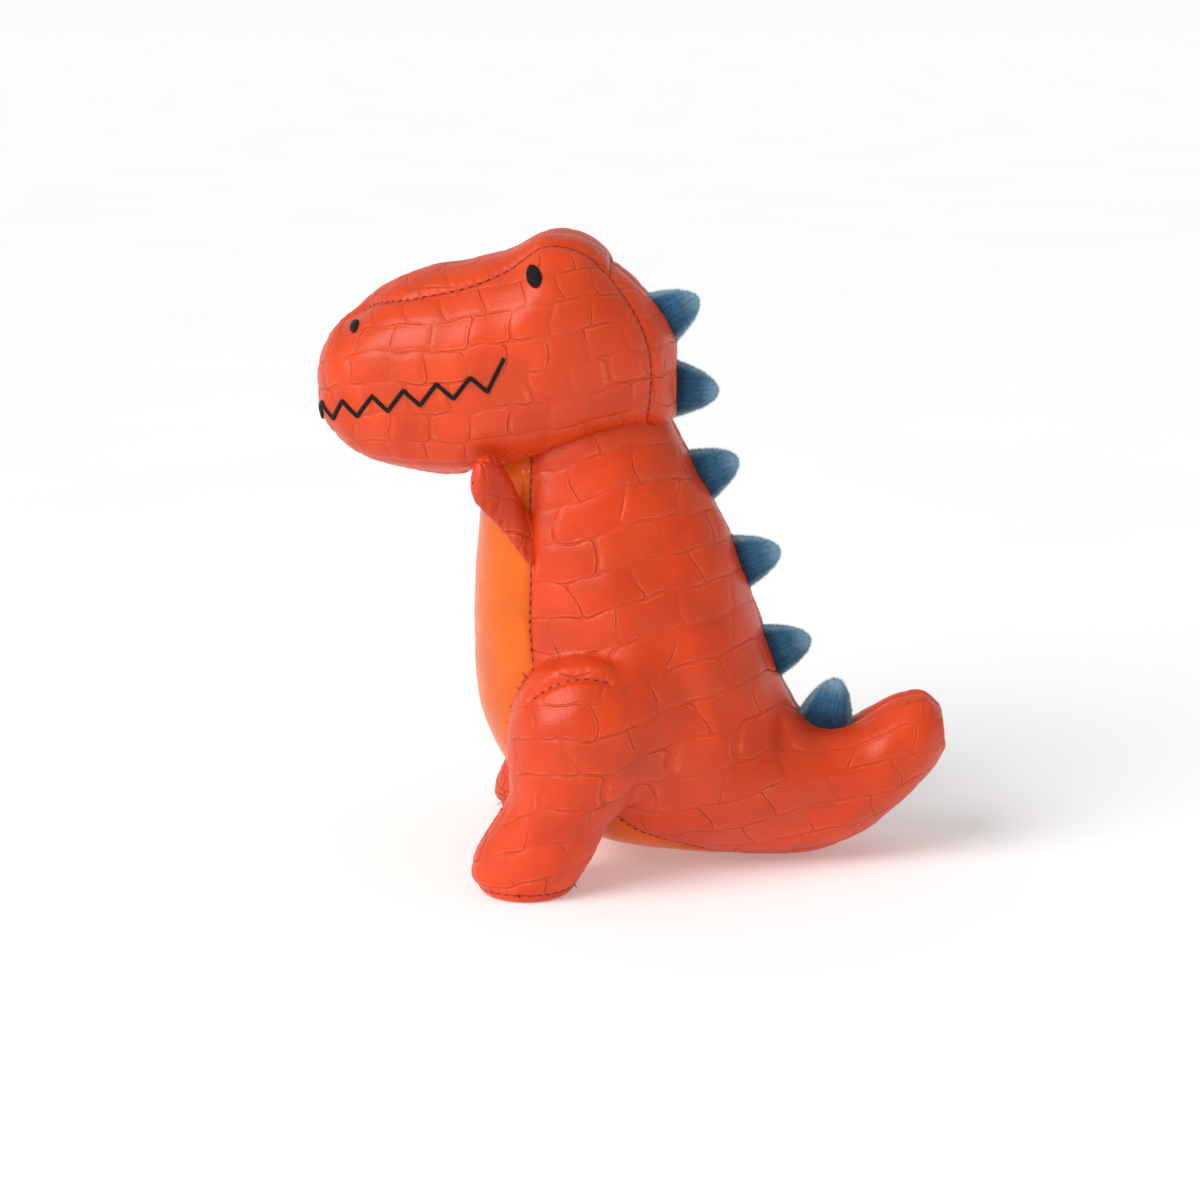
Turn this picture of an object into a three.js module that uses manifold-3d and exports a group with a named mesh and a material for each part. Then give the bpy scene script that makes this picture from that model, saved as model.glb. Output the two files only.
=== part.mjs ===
// A stuffed dinosaur, sewn from embossed and smooth synthetic leather over loose stuffing.
// Millimetres, +Z up. It faces -Y, its left side is +X, and it stands on two feet and its tail.
import * as THREE from "three";
import { LoftGeometry } from "three/addons/geometries/LoftGeometry.js";
import { mergeVertices } from "three/addons/utils/BufferGeometryUtils.js";
import Module from "manifold-3d";

const wasm = await Module();
wasm.setup();

// Sewn materials
const SKIN = 1.6; // synthetic leather with its knitted backing
const VELVET = 1; // short pile velvet of the spikes
const FIT = 0.3; // room between pieces that touch
const ARM_FIT = 0.45; // room round the arm's stuffing, whose sections turn along the arm
const THREAD = 0.9; // how far the embroidery stands up

// Torso and tail
const TORSO_HALF_WIDTH = 50; // at the hips
const TORSO_SECTION_POWER = 2.15; // 2 is an ellipse, more is squarer
const BELLY_TAIL_END = 0.68; // where the belly panel runs out under the tail, along the torso

// Head
const HEAD_HALF_WIDTH = 44; // at the cheeks
const HEAD_TOP_POWER = 2.5;
const HEAD_CHIN_POWER = 3;
const CHIN_HALF_WIDTH = 19; // of the panel under the jaw
const NECK = { y: -18, z: 158 }; // middle of the neck seam
const NOD_DEG = 4; // how far the head tips each way on its seam
const NOD_ROOM = 3; // from the torso to the lower head spike, so that it stays clear as the head tips

// Legs
const FOOT_SPREAD = 52; // middle plane to the middle of a foot
const LEG_HALF_WIDTH = 25; // at the thigh
const SOLE_HEIGHT = 3; // seam of the sole above the ground

// Arms
const ARM_THICKNESS = 10;
const ARM_REACH = 23; // from the seam to the arm's end
const ARM_TIP_HALF = 11.5; // half height near the end
const ARM_BASE = 21; // length of the seam that holds the arm
const ARM_HEIGHT = 128; // middle of that seam above the ground
const ARM_RISE = 20.5; // how far the arm's end stands above the middle of its seam
const ARM_CHEEK_GAP = 3.2; // from the arm's inner face to the cheek when the head is tipped down

// Spikes along the back seam
const SPIKE_BASE = 21.5;
const SPIKE_HEIGHT = 14.5;
const SPIKE_THICKNESS = 11;
const SPIKE_ROOT = 5; // how far its sides run on under the line of the seam
const TORSO_SPIKES = { count: 4, start: 32.5, pitch: 36 };
const HEAD_NAPE_RUN = 10; // how far the line of the head's spikes runs on under its last section
const HEAD_SPIKES = { count: 2, start: 31, pitch: 28 };

// Face
const EYE = { y: -33.7, z: 221.3, half: [2.9, 3.7], lean_deg: 22 };
const NOSTRIL = { y: -99.5, z: 202.5, half: [1.5, 2], lean_deg: -22 };
const MOUTH_LINE = 1.6; // width of the stitched line
const MOUTH = { front: -120.6, back: -43.9, height: 169.5, rise: 16.5, strokes: 13, tooth: 6.4, corner: 4 };

// How finely the round shapes are cut
const TORSO_RINGS = 14;
const TORSO_SIDES = 20;
const HEAD_SIDES = 20;
const LEG_SIDES = 12;
const SPIKE_SIDES = 8;
const ARM_SIDES = 8;
const FAR = 400; // longer than the toy

// Sections down the torso from the neck to the tail's tip. front and back are [y, z] of the section's
// two ends in the middle plane, and half is its half width over TORSO_HALF_WIDTH.
const TORSO_SECTIONS = [
  { front: [-51, 166], back: [7, 184], half: 0.53 },
  { front: [-56, 137], back: [24, 148], half: 0.72 },
  { front: [-58, 114], back: [39, 119], half: 0.85 },
  { front: [-59, 88], back: [49, 89], half: 0.95 },
  { front: [-56, 56], back: [58, 66], half: 1 },
  { front: [-41, 28], back: [65, 54], half: 0.99 },
  { front: [-17, 10], back: [71, 50.5], half: 0.92 },
  { front: [14, 3.4], back: [77, 50], half: 0.8 },
  { front: [46, 0.8], back: [83, 51], half: 0.66 },
  { front: [72, 2.4], back: [90, 55], half: 0.55 },
  { front: [94, 14], back: [100, 61], half: 0.48 },
  { front: [111.5, 31], back: [110, 62.5], half: 0.36 },
  { front: [118.5, 42], back: [116.5, 57], half: 0.2 },
];

// Half angle of the belly panel about the torso's front, in degrees, from the neck to its end.
const BELLY_ANGLES = [62, 61, 59, 57, 57, 58, 60, 54, 38, 3];

// Sections along the head from the nose to the back: [y, top z, bottom z, half width over the widest].
const HEAD_SECTIONS = [
  [-115, 186, 176, 0.2],
  [-113, 193, 168, 0.45],
  [-108.5, 200.5, 161.5, 0.64],
  [-101, 206, 154.5, 0.78],
  [-90, 214, 150, 0.88],
  [-76, 219.7, 147.5, 0.95],
  [-58, 223.3, 146.5, 0.985],
  [-44, 227.5, 149.5, 1],
  [-31, 234.5, 153.5, 1],
  [-18, 232.5, 157.5, 0.96],
  [-5, 222.5, 161.5, 0.86],
  [5, 213, 163.5, 0.72],
  [11.5, 205, 164, 0.56],
  [16.2, 196, 167.5, 0.3],
];

// Half width of the head's top strip against y.
const TOP_STRIP = [
  [-121.5, 3.5],
  [-107.5, 4.5],
  [-98, 9],
  [-90, 20],
  [-80, 27],
  [-60, 28],
  [-40, 24],
  [-16, 22],
  [-8, 23],
];

// Where the head's back panels meet its side panels: [y, z] from the crown to the nape.
const HEAD_BACK_SEAM = [
  [-8, 243],
  [-7, 221],
  [0, 212],
  [5, 203.5],
  [8, 193],
  [8, 180],
  [5, 160],
];

// Sections of the left leg from the thigh to the sole: [x offset from the foot, y, z, half width over the
// thigh's, half depth].
const LEG_SECTIONS = [
  [-12, -13, 86, 0.4, 10],
  [-10, -14, 81, 0.75, 20],
  [-8, -15, 68, 0.98, 27.5],
  [-5, -16.5, 50, 1, 27.3],
  [-2, -20, 36, 0.92, 23],
  [-0.5, -27, 26, 0.8, 22],
  [0, -33, 15, 0.77, 22.5],
  [0, -36, 7, 0.75, 20.8],
  [0, -36.5, 2.5, 0.68, 18],
  [0, -36.5, 0, 0.58, 15.2],
];

const LEATHER_RED = { color: "#dd4826", roughness: 0.45, metalness: 0 };
const LEATHER_ORANGE = { color: "#f57b1e", roughness: 0.38, metalness: 0 };
const VELVET_BLUE = { color: "#497c9b", roughness: 0.9, metalness: 0 };
const STUFFING = { color: "#f2f0ea", roughness: 1, metalness: 0 };
const BLACK_THREAD = { color: "#2f2225", roughness: 0.6, metalness: 0 };

// A closed geometry as a manifold solid, facing out.
function solidOf(geometry) {
  const bare = new THREE.BufferGeometry();
  bare.setAttribute("position", geometry.getAttribute("position"));
  bare.setIndex(geometry.getIndex());
  const merged = mergeVertices(bare, 1e-4);
  const corners = merged.index.array;
  const whole = [];
  for (let i = 0; i < corners.length; i += 3) {
    const [a, b, c] = corners.slice(i, i + 3);
    if (a !== b && b !== c && c !== a) whole.push(a, b, c);
  }
  const triVerts = new Uint32Array(whole);
  const vertProperties = merged.attributes.position.array;
  const solid = new wasm.Manifold(new wasm.Mesh({ numProp: 3, vertProperties, triVerts }));
  if (solid.volume() > 0) return solid;
  for (let i = 0; i < triVerts.length; i += 3) {
    [triVerts[i + 1], triVerts[i + 2]] = [triVerts[i + 2], triVerts[i + 1]];
  }
  return new wasm.Manifold(new wasm.Mesh({ numProp: 3, vertProperties, triVerts }));
}

// The largest body of a solid: a cut can leave crumbs behind.
function largest(solid) {
  return solid.decompose().reduce((a, b) => (b.volume() > a.volume() ? b : a));
}

// A named mesh of a solid.
function piece(name, solid, finish) {
  const mesh = largest(solid).getMesh();
  const geometry = new THREE.BufferGeometry();
  const positions = new Float32Array(mesh.numVert * 3);
  for (let i = 0; i < mesh.numVert; i++) {
    positions.set(mesh.vertProperties.subarray(i * mesh.numProp, i * mesh.numProp + 3), i * 3);
  }
  geometry.setAttribute("position", new THREE.BufferAttribute(positions, 3));
  geometry.setIndex(new THREE.BufferAttribute(new Uint32Array(mesh.triVerts), 1));
  geometry.computeVertexNormals();
  const made = new THREE.Mesh(geometry, new THREE.MeshStandardMaterial(finish));
  made.name = name;
  return made;
}

// A closed surface through rings of points, each end drawn in to the middle of its ring.
function loftGeometry(rings) {
  const pole = (ring) => {
    const centre = new THREE.Vector3();
    ring.forEach((point) => centre.addScaledVector(point, 1 / ring.length));
    return ring.map(() => centre.clone());
  };
  return new LoftGeometry([pole(rings[0]), ...rings, pole(rings[rings.length - 1])]);
}

// The solid of such a surface.
function loft(rings) {
  return solidOf(loftGeometry(rings));
}

// A box from its two corners.
function block(low, high) {
  const size = high.map((h, i) => h - low[i]);
  const centre = high.map((h, i) => (h + low[i]) / 2);
  return solidOf(new THREE.BoxGeometry(...size).translate(...centre));
}

// A flat outline of [a, b] points, run along one axis: "x" takes [y, z], "z" takes [x, y].
function prism(points, axis, from, to) {
  const shape = new THREE.Shape(points.map(([a, b]) => new THREE.Vector2(a, b)));
  const geometry = new THREE.ExtrudeGeometry(shape, { depth: to - from, bevelEnabled: false });
  geometry.translate(0, 0, from);
  if (axis === "x") {
    const turn = new THREE.Matrix4().set(0, 0, 1, 0, 1, 0, 0, 0, 0, 1, 0, 0, 0, 0, 0, 1);
    geometry.applyMatrix4(turn);
  }
  return solidOf(geometry);
}

// The same solid on the other side of the middle plane.
function mirrored(solid) {
  return solid.mirror([1, 0, 0]);
}

// cos or sin raised so that a ring becomes a superellipse.
function squared(value, power) {
  return Math.sign(value) * Math.pow(Math.abs(value), 2 / power);
}

// A half size grown or shrunk, which thins out instead of turning inside out.
function offset(half, grow) {
  return Math.max(half + grow, 0.6 + grow / 4);
}

// Places along a shape, drawn out or in so that each end moves by grow.
function stretched(places, grow) {
  const first = places[0];
  const last = places[places.length - 1];
  const way = Math.sign(last - first);
  const gain = (last - first + 2 * way * grow) / (last - first);
  return places.map((place) => first - way * grow + (place - first) * gain);
}

// A smooth curve through values, one per station.
function smooth(values) {
  const curve = new THREE.CatmullRomCurve3(values.map(([a, b, c]) => new THREE.Vector3(a, b, c)));
  curve.curveType = "centripetal";
  return curve;
}

const torsoFront = smooth(TORSO_SECTIONS.map((s) => [0, ...s.front]));
const torsoBack = smooth(TORSO_SECTIONS.map((s) => [0, ...s.back]));
const torsoHalf = smooth(TORSO_SECTIONS.map((s, i) => [i, s.half, 0]));

// The torso's section at t from the neck, 0, to the tail's tip, 1.
function torsoSection(t) {
  const front = torsoFront.getPoint(t);
  const back = torsoBack.getPoint(t);
  const centre = front.clone().add(back).multiplyScalar(0.5);
  const reach = front.clone().sub(centre);
  const half = torsoHalf.getPoint(t).y * TORSO_HALF_WIDTH;
  return { centre, depth: reach.length(), ahead: reach.normalize(), half };
}

// The way the torso runs at t.
function torsoRun(t) {
  const { ahead } = torsoSection(t);
  return new THREE.Vector3(0, ahead.z, -ahead.y);
}

// A point about the torso's section: angle 0 is the front, 90 degrees is the left side.
function aroundTorso(t, angle, grow) {
  const { centre, depth, ahead, half } = torsoSection(t);
  const forward = squared(Math.cos(angle), TORSO_SECTION_POWER) * (depth + grow);
  const side = squared(Math.sin(angle), TORSO_SECTION_POWER) * (half + grow);
  return centre.addScaledVector(ahead, forward).add(new THREE.Vector3(side, 0, 0));
}

// The torso and tail, grown or shrunk all round.
function torso(grow) {
  const rings = [];
  for (let i = 0; i <= TORSO_RINGS; i++) {
    const t = i / TORSO_RINGS;
    const ring = [];
    for (let j = 0; j < TORSO_SIDES; j++) {
      ring.push(aroundTorso(t, (2 * Math.PI * j) / TORSO_SIDES, grow));
    }
    if (i === TORSO_RINGS) {
      const out = torsoRun(1).multiplyScalar(torsoRun(1).dot(torsoBack.getTangent(1)) > 0 ? grow : -grow);
      ring.forEach((point) => point.add(out));
    }
    rings.push(ring);
  }
  return loft(rings);
}

// The space in front of and under the torso that the belly panel fills, with a margin each side.
function bellyWedge(margin) {
  const angles = smooth(BELLY_ANGLES.map((angle, i) => [i, angle, 0]));
  const steps = 12;
  const reach = 30;
  const rings = [];
  for (let i = 0; i <= steps; i++) {
    const t = (BELLY_TAIL_END * i) / steps;
    const wide = THREE.MathUtils.degToRad(angles.getPoint(i / steps).y) + margin / TORSO_HALF_WIDTH;
    const { centre, ahead } = torsoSection(t);
    const ring = [centre.clone().addScaledVector(ahead, -1)];
    for (const share of [-1, -0.5, 0, 0.5, 1]) {
      ring.push(aroundTorso(t, wide * share, reach));
    }
    if (i === steps) ring.forEach((point) => point.addScaledVector(torsoFront.getTangent(t), margin));
    rings.push(ring);
  }
  return loft(rings);
}

// The head, grown or shrunk all round, tipped by an angle about the neck seam.
function head(grow, tipDeg = 0) {
  const places = stretched(HEAD_SECTIONS.map(([y]) => y), grow);
  const rings = HEAD_SECTIONS.map(([, top, bottom, half], i) => {
    const middle = (top + bottom) / 2;
    const tall = (top - bottom) / 2 + grow;
    const wide = half * HEAD_HALF_WIDTH + grow;
    const ring = [];
    for (let j = 0; j < HEAD_SIDES; j++) {
      const angle = (2 * Math.PI * j) / HEAD_SIDES;
      const power = Math.sin(angle) > 0 ? HEAD_TOP_POWER : HEAD_CHIN_POWER;
      const x = squared(Math.cos(angle), power) * wide;
      const z = middle + squared(Math.sin(angle), power) * tall;
      ring.push(new THREE.Vector3(x, places[i], z));
    }
    return ring;
  });
  const geometry = loftGeometry(rings);
  geometry.translate(0, -NECK.y, -NECK.z);
  geometry.rotateX(THREE.MathUtils.degToRad(tipDeg));
  geometry.translate(0, NECK.y, NECK.z);
  return solidOf(geometry);
}

// How far the head reaches to one side at a place along it and a height.
function headHalf(y, z) {
  const next = HEAD_SECTIONS.findIndex(([place]) => place > y);
  const [before, after] = [HEAD_SECTIONS[next - 1], HEAD_SECTIONS[next]];
  const share = (y - before[0]) / (after[0] - before[0]);
  const [, top, bottom, half] = before.map((value, i) => value + (after[i] - value) * share);
  const middle = (top + bottom) / 2;
  const power = z > middle ? HEAD_TOP_POWER : HEAD_CHIN_POWER;
  const rise = Math.abs(z - middle) / (top - middle);
  return half * HEAD_HALF_WIDTH * Math.pow(1 - Math.pow(rise, power), 1 / power);
}

// Everywhere the head comes as it tips, with the room between touching pieces.
function headSweep() {
  const tips = [-NOD_DEG, 0, NOD_DEG];
  return tips.map((tip) => head(FIT, tip)).reduce((a, b) => a.add(b));
}

// The left leg, grown or shrunk all round.
function leg(grow) {
  const heights = stretched(LEG_SECTIONS.map(([, , z]) => z), grow);
  const rings = LEG_SECTIONS.map(([shift, y, , half, depth], i) => {
    const ring = [];
    for (let j = 0; j < LEG_SIDES; j++) {
      const angle = (2 * Math.PI * j) / LEG_SIDES;
      const x = FOOT_SPREAD + shift + Math.cos(angle) * (half * LEG_HALF_WIDTH + grow);
      ring.push(new THREE.Vector3(x, y + Math.sin(angle) * (depth + grow), heights[i]));
    }
    return ring;
  });
  return loft(rings);
}

// Both legs.
function legs(grow) {
  const left = leg(grow);
  return left.add(mirrored(left));
}

// The left half of space, or the right half, short of the middle plane by half a seam.
function halfSpace(side) {
  const left = block([FIT / 2, -FAR, -FAR], [FAR, FAR, FAR]);
  return side === "left" ? left : mirrored(left);
}

// The inner half of a leg below the hips: the space between the leg's own middle and the belly.
function innerLegSpace(side, margin) {
  const line = LEG_SECTIONS.slice(2).map(([shift, , z]) => [FOOT_SPREAD + shift + margin, z]);
  const top = [line[0][0], 300];
  const foot = [line[line.length - 1][0], -20];
  const outline = [[-margin, 300], top, ...line, foot, [-margin, -20]].map(([x, z]) => [-FAR - z, x]);
  const space = prism(outline, "z", -FAR, FAR);
  const geometry = turnedToFront(space);
  return side === "left" ? geometry : mirrored(geometry);
}

// A prism drawn with [-FAR - z, x] points, turned so that its run lies along Y.
function turnedToFront(solid) {
  // x' = y, y' = z, z' = -FAR - x
  return solid.transform([0, 0, -1, 0, 1, 0, 0, 0, 0, 1, 0, 0, 0, 0, -FAR, 1]);
}

// Torso, tail and legs: red sides with the outer legs, orange belly, inner legs, soles and stuffing.
function torsoPieces() {
  const sweep = headSweep();
  const bodyIn = torso(-SKIN);
  const legsIn = legs(-SKIN);
  const bodyOut = torso(0);
  const made = [];
  const ground = block([-FAR, -FAR, -FAR], [FAR, FAR, SOLE_HEIGHT]);
  const underSeam = block([-FAR, -FAR, -FAR], [FAR, FAR, SOLE_HEIGHT + FIT]);
  const belly = bodyOut
    .intersect(bellyWedge(0))
    .subtract(bodyIn)
    .subtract(legs(FIT))
    .subtract(sweep);
  made.push(piece("belly_panel", belly, LEATHER_ORANGE));
  for (const side of ["left", "right"]) {
    const legOut = side === "left" ? leg(0) : mirrored(leg(0));
    const inner = innerLegSpace(side, 0);
    const innerWide = innerLegSpace(side, FIT);
    const flank = bodyOut.subtract(bellyWedge(FIT));
    const panel = flank
      .add(legOut.subtract(innerWide).subtract(underSeam))
      .subtract(bodyIn)
      .subtract(legsIn)
      .subtract(sweep)
      .intersect(halfSpace(side));
    made.push(piece(`side_panel_${side}`, panel, LEATHER_RED));
    const inside = legOut
      .intersect(inner)
      .subtract(underSeam)
      .subtract(legsIn)
      .subtract(torso(FIT));
    made.push(piece(`inner_leg_panel_${side}`, inside, LEATHER_RED));
    const sole = legOut.intersect(ground).subtract(legsIn);
    made.push(piece(`foot_sole_${side}`, sole, LEATHER_RED));
  }
  const stuffing = torso(-SKIN - FIT).add(legs(-SKIN - FIT)).subtract(sweep);
  made.push(piece("torso_stuffing", stuffing, STUFFING));
  return made;
}

// The head's panels, its stuffing and the space each panel takes.
function headPieces() {
  const shell = head(0).subtract(head(-SKIN));
  const strip = (margin) => {
    const right = TOP_STRIP.map(([y, half]) => [half + margin, y]);
    const left = TOP_STRIP.map(([y, half]) => [-half - margin, y]).reverse();
    return prism([...right, ...left], "z", NECK.z + 20, FAR);
  };
  const chin = (margin) => {
    const wide = CHIN_HALF_WIDTH + margin;
    const nose = HEAD_SECTIONS[0][0];
    const outline = [[-wide, nose + 10], [-3.5, nose - 9], [3.5, nose - 9], [wide, nose + 10]];
    const end = HEAD_SECTIONS[6][0] + margin;
    return prism([...outline, [wide, end], [-wide, end]], "z", -FAR, NECK.z + 20 - (margin ? 0 : FIT));
  };
  const nape = (margin) => {
    const seam = HEAD_BACK_SEAM.map(([y, z]) => [y - margin, z]);
    return prism([...seam, [FAR, 160], [FAR, 250]], "x", -FAR, FAR);
  };
  const baseEnd = HEAD_SECTIONS[6][0] + FIT;
  const baseSpace = (margin) => {
    const from = [-25 - margin, baseEnd - margin, 100];
    return block(from, [25 + margin, 2 + margin, NECK.z + 14]);
  };
  const made = [];
  const back = shell.intersect(nape(0)).subtract(baseSpace(FIT));
  const crown = shell.intersect(strip(0)).subtract(nape(FIT));
  const jaw = shell.intersect(chin(0)).subtract(strip(FIT));
  const base = shell.intersect(baseSpace(0)).subtract(chin(FIT));
  const cheeks = shell
    .subtract(nape(FIT))
    .subtract(strip(FIT))
    .subtract(chin(FIT))
    .subtract(baseSpace(FIT));
  made.push(piece("head_top_strip", crown, LEATHER_RED));
  made.push(piece("chin_panel", jaw, LEATHER_RED));
  made.push(piece("head_base_panel", base, LEATHER_RED));
  for (const side of ["left", "right"]) {
    const half = halfSpace(side);
    made.push(piece(`head_side_panel_${side}`, cheeks.intersect(half), LEATHER_RED));
    made.push(piece(`head_back_panel_${side}`, back.intersect(half), LEATHER_RED));
  }
  made.push(piece("head_stuffing", head(-SKIN - FIT), STUFFING));
  return made;
}

// The thin layer over the head that the embroidery fills.
function embroideryLayer() {
  return head(FIT + THREAD).subtract(head(FIT));
}

// An upright oval outline in the side view, leaning by an angle.
function oval({ y, z, half, lean_deg }) {
  const curve = new THREE.EllipseCurve(y, z, half[0], half[1]);
  const points = curve.getSpacedPoints(12).slice(0, 12);
  const lean = THREE.MathUtils.degToRad(lean_deg);
  const centre = new THREE.Vector2(y, z);
  return points.map((point) => point.rotateAround(centre, lean).toArray());
}

// The mouth's zigzag as a band of one width, from the front of the nose back to its raised corner.
function mouthBand() {
  const count = MOUTH.strokes;
  const line = [];
  for (let i = 0; i <= count; i++) {
    const share = i / count;
    const y = MOUTH.front + (MOUTH.back - MOUTH.front) * share;
    const zag = i % 2 ? MOUTH.tooth / 2 : -MOUTH.tooth / 2;
    const corner = i === count ? MOUTH.corner : 0;
    line.push([y, MOUTH.height + MOUTH.rise * share + zag + corner]);
  }
  const tall = MOUTH_LINE * Math.SQRT1_2;
  const above = line.map(([y, z]) => [y, z + tall]);
  const below = line.map(([y, z]) => [y, z - tall]).reverse();
  return [...above, ...below];
}

// Eyes, nostrils and mouth.
function facePieces() {
  const layer = embroideryLayer();
  const made = [];
  for (const side of ["left", "right"]) {
    const half = halfSpace(side);
    for (const [name, spot] of [["eye", EYE], ["nostril", NOSTRIL]]) {
      const patch = layer.intersect(prism(oval(spot), "x", -FAR, FAR)).intersect(half);
      made.push(piece(`${name}_${side}`, patch, BLACK_THREAD));
    }
  }
  const mouth = layer.intersect(prism(mouthBand(), "x", -FAR, FAR));
  made.push(piece("mouth_stitching", mouth, BLACK_THREAD));
  return made;
}

// A spike's outline stations from root to rounded tip: [height, share of the base, share of the thickness].
const SPIKE_STATIONS = [
  [-SPIKE_ROOT, 1, 0.9],
  [0, 1, 1],
  [SPIKE_HEIGHT * 0.6, 0.55, 0.7],
  [SPIKE_HEIGHT, 0.12, 0.25],
];

// One spike as a lens-sectioned cone on a stretch of the back seam, grown or shrunk.
function spike(from, to, grow) {
  const middle = from.clone().add(to).multiplyScalar(0.5);
  const along = to.clone().sub(from).normalize();
  const out = new THREE.Vector3(0, -along.z, along.y);
  const heights = SPIKE_STATIONS.map(([height]) => height);
  const lifts = stretched(heights, grow);
  lifts[0] = heights[0] + grow;
  const rings = SPIKE_STATIONS.map(([, base, thick], i) => {
    const ring = [];
    for (let j = 0; j < SPIKE_SIDES; j++) {
      const angle = (2 * Math.PI * j) / SPIKE_SIDES;
      const run = Math.cos(angle) * offset((SPIKE_BASE / 2) * base, grow);
      const side = Math.sin(angle) * offset((SPIKE_THICKNESS / 2) * thick, grow);
      const point = middle.clone().addScaledVector(along, run).addScaledVector(out, lifts[i]);
      ring.push(point.add(new THREE.Vector3(side, 0, 0)));
    }
    return ring;
  });
  return loft(rings);
}

// The points that lie a length apart down a curve in the middle plane, starting at a given length.
function seamPoints(curve, { count, start, pitch }) {
  const whole = curve.getLength();
  return Array.from({ length: count }, (_, i) => {
    const from = curve.getPointAt((start + i * pitch) / whole);
    const to = curve.getPointAt((start + i * pitch + SPIKE_BASE) / whole);
    return [from, to];
  });
}

// Two velvet faces and a pinch of stuffing for one spike, cut clear of what carries it.
function spikePieces(number, [from, to], carrier) {
  const outer = spike(from, to, 0).subtract(carrier);
  const inner = spike(from, to, -VELVET);
  const made = [];
  for (const side of ["left", "right"]) {
    const face = outer.subtract(inner).intersect(halfSpace(side));
    made.push(piece(`spike_${number}_velvet_${side}`, face, VELVET_BLUE));
  }
  const stuffing = spike(from, to, -VELVET - FIT).subtract(carrier);
  made.push(piece(`spike_${number}_stuffing`, stuffing, STUFFING));
  return made;
}

// The six spikes: two on the back of the head, four down the torso.
function allSpikes() {
  const backLine = HEAD_SECTIONS.slice(-5).map(([y, top]) => [0, y, top]);
  const last = HEAD_SECTIONS[HEAD_SECTIONS.length - 1];
  backLine.push([0, last[0] + 0.5, last[2] - HEAD_NAPE_RUN]);
  const headLine = smooth(backLine);
  const headSpikes = seamPoints(headLine, HEAD_SPIKES);
  const torsoSpikes = seamPoints(torsoBack, TORSO_SPIKES);
  const made = [];
  const neckRoom = head(FIT).add(torso(NOD_ROOM));
  headSpikes.forEach((span, i) => made.push(...spikePieces(i + 1, span, neckRoom)));
  torsoSpikes.forEach((span, i) => made.push(...spikePieces(i + 3, span, torso(FIT))));
  return made;
}

// The frame of the left arm: its seam's middle, the way along the seam and the way the arm points, which
// is as far out as it takes to clear the cheek over it.
function armFrame() {
  const seamAt = (height) => {
    let t = 0;
    while (aroundTorso(t, THREE.MathUtils.degToRad(60), 0).z > height) t += 0.002;
    return aroundTorso(t, THREE.MathUtils.degToRad(60), 0);
  };
  const origin = seamAt(ARM_HEIGHT);
  const up = seamAt(ARM_HEIGHT + 8).sub(seamAt(ARM_HEIGHT - 8)).normalize();
  const end = origin.clone().add(new THREE.Vector3(0, 0, ARM_RISE));
  const nodDrop = (NECK.y - end.y) * Math.sin(THREE.MathUtils.degToRad(NOD_DEG));
  const topOfArm = end.z + ARM_TIP_HALF + nodDrop;
  const cheek = Math.max(...[0.2, 0.5, 0.8, 1].map((s) => headHalf(end.y - ARM_REACH * s, topOfArm)));
  const angle = Math.asin((cheek + ARM_CHEEK_GAP + ARM_THICKNESS / 2 - end.x) / ARM_REACH);
  const ahead = new THREE.Vector3(Math.sin(angle), -Math.cos(angle), 0);
  ahead.addScaledVector(up, -ahead.dot(up)).normalize();
  const flat = new THREE.Vector3().crossVectors(ahead, up).normalize();
  return { origin, up, ahead, flat };
}

// The left arm as a padded paddle, grown or shrunk: sections from its seam to its rounded end, which stand
// along the seam at first and upright at the end.
function arm(grow) {
  const { origin, up, ahead, flat } = armFrame();
  const base = ARM_BASE / 2;
  // share of the reach, rise of the section's middle, half height, share of the thickness
  const stations = [
    [0.045, 0.8, base - 0.5, 0.16],
    [0.22, ARM_RISE * 0.34, base + 0.8, 0.68],
    [0.44, ARM_RISE * 0.7, base + 1.6, 0.95],
    [0.62, ARM_RISE * 0.9, ARM_TIP_HALF + 0.6, 1],
    [0.82, ARM_RISE, ARM_TIP_HALF * 0.82, 0.88],
    [0.95, ARM_RISE, ARM_TIP_HALF * 0.5, 0.5],
    [1, ARM_RISE, ARM_TIP_HALF * 0.25, 0.25],
  ];
  const places = stretched(stations.map(([share]) => share * ARM_REACH), grow);
  const rings = stations.map(([share, middle, half, thick], i) => {
    const lift = up.clone().lerp(new THREE.Vector3(0, 0, 1), share);
    const ring = [];
    for (let j = 0; j < ARM_SIDES; j++) {
      const angle = (2 * Math.PI * j) / ARM_SIDES;
      const rise = middle + Math.cos(angle) * offset(half, grow);
      const side = Math.sin(angle) * offset((ARM_THICKNESS / 2) * thick, grow);
      const point = origin.clone().addScaledVector(ahead, places[i]).addScaledVector(lift, rise);
      ring.push(point.addScaledVector(flat, side));
    }
    return ring;
  });
  return loft(rings);
}

// Half of space on one side of the left arm's own middle plane.
function armHalf(sign) {
  const { origin, up, ahead, flat } = armFrame();
  const geometry = new THREE.BoxGeometry(200, 200, 200).translate(0, 0, sign * (100 + FIT / 2));
  const place = new THREE.Matrix4().makeBasis(ahead, up, flat).setPosition(origin);
  return solidOf(geometry.applyMatrix4(place));
}

// Two leather faces and the stuffing of each arm.
function armPieces() {
  const shell = arm(0).subtract(arm(-SKIN));
  const parts = [
    ["outer", shell.intersect(armHalf(1)), LEATHER_RED],
    ["inner", shell.intersect(armHalf(-1)), LEATHER_RED],
    ["stuffing", arm(-SKIN - ARM_FIT), STUFFING],
  ];
  const clear = torso(FIT);
  return ["left", "right"].flatMap((side) =>
    parts.map(([name, solid, finish]) => {
      const clean = solid.subtract(clear);
      return piece(`arm_${name}_${side}`, side === "left" ? clean : mirrored(clean), finish);
    }),
  );
}

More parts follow.
